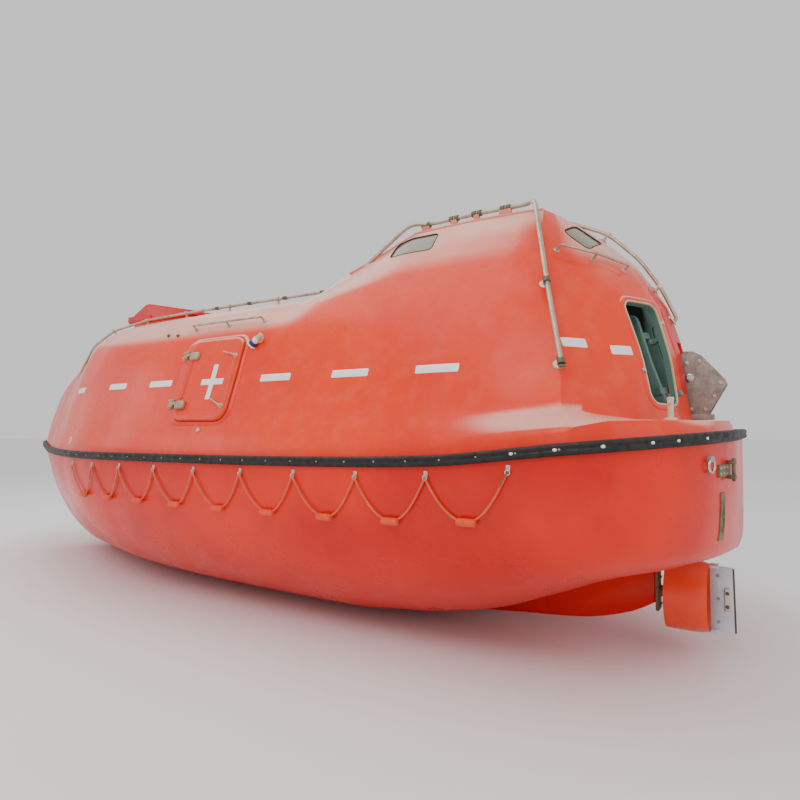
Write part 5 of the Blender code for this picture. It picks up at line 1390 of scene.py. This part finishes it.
# Lifelines: three-strand rope in loops, a foam float in each, and a clip at each hanging point
LINE_X = [1.05, 0.62, 0.20, -0.24, -0.69, -1.16, -1.63, -2.11, -2.58, -3.05]
LINE_DROP, LINE_SAG, LOOP_STEPS = 0.10, 0.24, 24
ROPE_R = 0.0060
TWIST = 0.045
FLOAT_PROFILE = [(0, 0), (0.012, 0.001), (0.019, 0.006), (0.0215, 0.014), (0.0205, 0.022), (0.0220, 0.032),
                 (0.0210, 0.045), (0.0222, 0.056), (0.0210, 0.067), (0.0220, 0.080), (0.0205, 0.090),
                 (0.0215, 0.098), (0.019, 0.106), (0.012, 0.111), (0, 0.112)]
for tag, side in SIDES:
    knots, clips, floats = [], [], []
    for a, b in zip(LINE_X, LINE_X[1:]):
        za, zb = table(a, SHEER) - LINE_DROP, table(b, SHEER) - LINE_DROP
        for k in range(LOOP_STEPS):
            t = k / LOOP_STEPS
            z = za + (zb - za) * t - LINE_SAG * 4 * t * (1 - t)
            hit, normal = hull_side(a + (b - a) * t, z, side)
            knots.append(hit + normal * 0.0145)
            if k == 0:
                clips.append((hit, normal))
            if k == LOOP_STEPS // 2:
                floats.append((hit, normal))
    end, end_n = hull_side(LINE_X[-1], table(LINE_X[-1], SHEER) - LINE_DROP, side)
    knots.append(end + end_n * 0.013)
    clips.append((end, end_n))
    path = []
    for a, b in zip(knots, knots[1:]):
        count = max(1, int((b - a).length / 0.007))
        path += [a.lerp(b, k / count) for k in range(count)]
    path.append(knots[-1])
    strands = []
    for s in range(3):
        run = 0.0
        offset = []
        for i, p in enumerate(path):
            tangent = (path[min(i + 1, len(path) - 1)] - path[max(i - 1, 0)]).normalized()
            side_dir = tangent.cross(Vector((0, side, 0))).normalized()
            other = tangent.cross(side_dir)
            if i:
                run += (p - path[i - 1]).length
            angle = 2 * math.pi * (run / TWIST + s / 3)
            offset.append(p + (side_dir * math.cos(angle) + other * math.sin(angle)) * ROPE_R * 0.52)
        strands.append(tube(offset, ROPE_R * 0.55, 6))
    piece("lifeline_rope_" + tag, merge(strands), ROPE, "boat", angle=80,
          replaces=("lifeline_" + tag,))
    foam, buckles = [], []
    for hit, normal in floats:
        along = X_AXIS - normal * normal.x
        start = hit + normal * 0.024 - along.normalized() * 0.056
        foam.append(lathe(FLOAT_PROFILE, frame_to(start, along), 20))
    for hit, normal in clips:
        m = opening_frame(hit, normal)
        loop = [m @ Vector((0.012 * math.cos(a), 0.012 * math.sin(a) - 0.002, 0.014))
                for a in np.linspace(0, 2 * math.pi, 17)]
        buckles += boxes_on(m, ((-0.011, -0.004, -0.006), (0.011, 0.034, 0.004)))
        buckles += [tube(loop, 0.0035, 8), dome_bolt(m @ Vector((0, 0.024, 0.004)), normal, 0.006)]
    piece("lifeline_floats_" + tag, merge(foam), FLOAT_PAINT, "boat")
    piece("lifeline_clips_" + tag, merge(buckles), BRIGHT_METAL)

    tail, tail_n = hull_side(-3.009, 1.099, side)
    middle = end.lerp(tail, 0.5) + end_n * 0.018
    piece("lifeline_snap_" + tag, tube([end + end_n * 0.016, middle, tail + tail_n * 0.016], 0.0045, 10),
          DARK_METAL)
    mark, mark_n = top_side(1.251, 1.264, side)
    oval = [(0.022 * math.cos(a), 0.034 * math.sin(a)) for a in np.linspace(0, 2 * math.pi, 29)[:-1]]
    piece("bow_mark_" + tag, skin_plate(lambda d: [(x * (1 - d), y * (1 - d)) for x, y in oval],
                                        [(0.0, -0.001), (0.0, 0.0014), (0.1, 0.0020), (0.8, 0.0022)],
                                        opening_frame(mark, mark_n)), WHITE_PLASTIC, angle=60)


# Fittings on the stern
def stern_frame(y, z):
    return opening_frame(*seat(hull_tree, at(-6, y, z), (1, 0, 0)))


sm = stern_frame(0.650, 0.93)
strip = skin_plate(rect_line(0.062, 0.25, 0.006, 3, 6),
                   [(0, -0.003), (0, 0.0045), (0.0015, 0.006), (0.016, 0.006)], sm, hull_tree)
piece("stern_strip_skin", strip, OLIVE_METAL, "boat", replaces=("stern_strip",))
HOLE_PROFILE = [(0, 0.001), (0.011, 0.001), (0.011, 0.0064), (0.0115, 0.0068), (0, 0.0069)]
holes = [lathe(HOLE_PROFILE, frame_to(on_skin(sm, 0, y, 0.0, hull_tree), sm.to_3x3() @ UP), 18)
         for y in (0.07, 0.0, -0.07)]
piece("stern_strip_holes", merge(holes), DARK_METAL)
cm = stern_frame(0.63, 1.17)
cleat = boxes_on(cm, ((-0.085, -0.035, -0.01), (0.095, 0.030, 0.008)),
                 ((0.060, -0.050, 0.0), (0.090, -0.030, 0.040)),
                 ((0.060, 0.028, 0.0), (0.090, 0.048, 0.040)))
cleat.append(rod(cm @ Vector((0.075, -0.062, 0.030)), cm @ Vector((0.075, 0.060, 0.030)), 0.009))
piece("stern_cleat_skin", merge(cleat), OLIVE_METAL, "boat", bevel=0.002,
      replaces=("stern_cleat",))
heads = [bolt(cm @ Vector((x, y, 0.008)), cm.to_3x3() @ UP, 0.007)
         for x in (-0.065, -0.015, 0.035) for y in (-0.018, 0.014)]
piece("stern_cleat_bolts", merge(heads), BRIGHT_METAL)
rm = stern_frame(0.815, 1.20)
loop = [rm @ Vector((0.029 * math.cos(a), 0.032 * math.sin(a), 0.018))
        for a in np.linspace(0, 2 * math.pi, 41)]
piece("stern_ring_skin", tube(loop, 0.0072), BRIGHT_METAL, "boat", replaces=("stern_ring",))
piece("stern_ring_eye", merge(boxes_on(rm, ((-0.014, 0.020, -0.01), (0.014, 0.050, 0.030)))), ZINC,
      bevel=0.005)

# Stern gear
SHAFT_X, SHAFT_Z = -3.68, 0.34
SHAFT = at(SHAFT_X, 0, SHAFT_Z)
tube_parts = [box_at((-3.512, -0.050, 0.22), (-3.4903, 0.050, 0.54)),
              lathe([(0, 0), (0.040, 0), (0.040, 0.018), (0.034, 0.026), (0.032, 0.094), (0.029, 0.0995),
                     (0, 0.0995)], frame_to(at(-3.5, 0, SHAFT_Z), (-1, 0, 0)), 30)]
piece("stern_tube_skin", merge(tube_parts), OLIVE_METAL, "boat", bevel=0.003,
      replaces=("stern_tube",))
heads = [bolt(at(-3.512, y, z), (-1, 0, 0), 0.009) for y in (-0.034, 0.034) for z in (0.25, 0.42, 0.51)]
piece("stern_tube_bolts", merge(heads), OLIVE_METAL, "boat")


def propeller_blade(turn):
    """A thin cambered blade, its rows running from the boss to the tip."""
    rs = [0.020, 0.045, 0.070, 0.095, 0.120, 0.140, 0.158, 0.170, 0.178]
    chords = [0.050, 0.070, 0.090, 0.106, 0.114, 0.110, 0.092, 0.066, 0.026]
    steps = 12
    rows = []
    for r, chord in zip(rs, chords):
        pitch = math.radians(62 - 220 * r) if r < 0.17 else math.radians(25)
        row = []
        for face in (1, -1):
            for i in range(steps + 1):
                s = (i / steps if face > 0 else 1 - i / steps) - 0.5
                round_off = 1 - (2 * s) ** 2
                u = s * chord
                n = face * (0.0042 * round_off ** 0.5 * (1.25 - r / 0.22) + 0.0006) + 0.006 * round_off
                dx = u * math.sin(pitch) + n * math.cos(pitch)
                a = turn + (u * math.cos(pitch) - n * math.sin(pitch)) / max(r, 0.05)
                row.append((SHAFT.x + dx, r * math.cos(a), SHAFT.z + r * math.sin(a)))
        rows.append(row)
    return sweep(rows, (0, -1))


blades = [propeller_blade(math.radians(45 + 90 * i)) for i in range(4)]
BOSS_LINE = [(0, 0), (0.029, 0), (0.031, 0.004), (0.031, 0.080), (0.028, 0.105), (0.020, 0.112),
             (0.020, 0.126), (0.014, 0.140), (0, 0.1445)]
boss = lathe(BOSS_LINE, frame_to(at(-3.6003, 0, SHAFT_Z), (-1, 0, 0)), 32)
piece("propeller_skin", merge(blades + [boss]), BRONZE, "propeller", angle=45,
      replaces=("propeller",))

RING_R, RING_LEN = 0.215, 0.24
ring_profile = []
for t in np.linspace(0, 1, 13):
    r = RING_R + 0.002 * math.sin(math.pi * t) - 0.012 * (1 - t) ** 6
    ring_profile.append((r, (t - 0.5) * RING_LEN))
for t in np.linspace(1, 0, 13)[1:-1]:
    ring_profile.append((RING_R - 0.014 - 0.008 * math.sin(math.pi * t), (t - 0.5) * RING_LEN))


def closed_lathe(profile, m, count=96):
    """Turns a closed profile of (radius, height) pairs about the matrix's z."""
    angles = [2 * math.pi * i / count for i in range(count)]
    return sweep([[m @ Vector((r * math.cos(a), r * math.sin(a), h)) for r, h in profile] for a in angles],
                 closed=True)


# pale paint on the nozzle: painted light where the hull shades it
piece("nozzle_skin", closed_lathe(ring_profile, frame_to(SHAFT, (1, 0, 0))), NOZZLE_LIT_PAINT, "steering",
      replaces=("nozzle",))
stock = [rod(at(SHAFT_X, 0, 0.545), at(SHAFT_X, 0, 0.80), 0.020, 24),
         lathe([(0, 0), (0.044, 0), (0.044, 0.012), (0.030, 0.018), (0.028, 0.036), (0, 0.037)],
               frame_to(at(SHAFT_X, 0, 0.543), UP), 28)]
piece("nozzle_stock_skin", merge(stock), CREAM_PAINT, "steering")
heads = [bolt(at(SHAFT_X + 0.036 * math.cos(a), 0.036 * math.sin(a), 0.555), UP, 0.0055)
         for a in (0.8, 2.4, 3.9, 5.5)]
piece("nozzle_stock_bolts", merge(heads), BRIGHT_METAL, "steering")
fin_x = SHAFT_X - RING_LEN / 2 - 0.0003
fin_parts = [side_prism([(fin_x - 0.14, 0.14), (fin_x, 0.14), (fin_x, 0.54), (fin_x - 0.132, 0.532)],
                        -0.009, 0.009)]
for low in (SHAFT_Z + 0.185, SHAFT_Z - 0.205):
    fin_parts.append(box_at((fin_x - 0.05, -0.035, low), (fin_x, 0.035, low + 0.020)))
piece("nozzle_fin_skin", merge(fin_parts), FIN_METAL, "steering", bevel=0.003,
      replaces=("nozzle_fin",))
heads = [bolt(at(fin_x - 0.045, 0.009 * s, z), (0, s, 0), 0.008)
         for z in (0.20, 0.34, 0.48) for s in (1, -1)]
piece("nozzle_fin_bolts", merge(heads), ZINC, "steering")
piece("nozzle_fin_edge", side_prism([(fin_x - 0.1405, 0.145), (fin_x - 0.130, 0.144), (fin_x - 0.124, 0.530),
                                     (fin_x - 0.1335, 0.530)], -0.0105, 0.0105), DARK_METAL, "steering",
      bevel=0.002)
blocks = [side_prism([(fin_x - 0.112, 0.27), (fin_x - 0.078, 0.27), (fin_x - 0.078, 0.41),
                      (fin_x - 0.112, 0.41)], s * 0.0085, s * 0.022) for s in (1, -1)]
piece("nozzle_fin_blocks", merge(blocks), BRIGHT_METAL, "steering", bevel=0.005, segments=3)
heads = [bolt(at(fin_x - 0.095, 0.022 * s, z), (0, s, 0), 0.009) for s in (1, -1) for z in (0.30, 0.38)]
piece("nozzle_block_bolts", merge(heads), DARK_METAL, "steering")

# Inside
for name, mat in (("bench_liner", LINER_PAINT), ("engine", ENGINE_PAINT), ("helm_console", LINER_PAINT),
                  ("helm_seat", VINYL), ("helm_wheel", VINYL)):
    repaint(name, mat)

lo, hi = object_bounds()
{"cad": [list(cad_box[0]), list(cad_box[1])], "visual": [list(lo), list(hi)]}
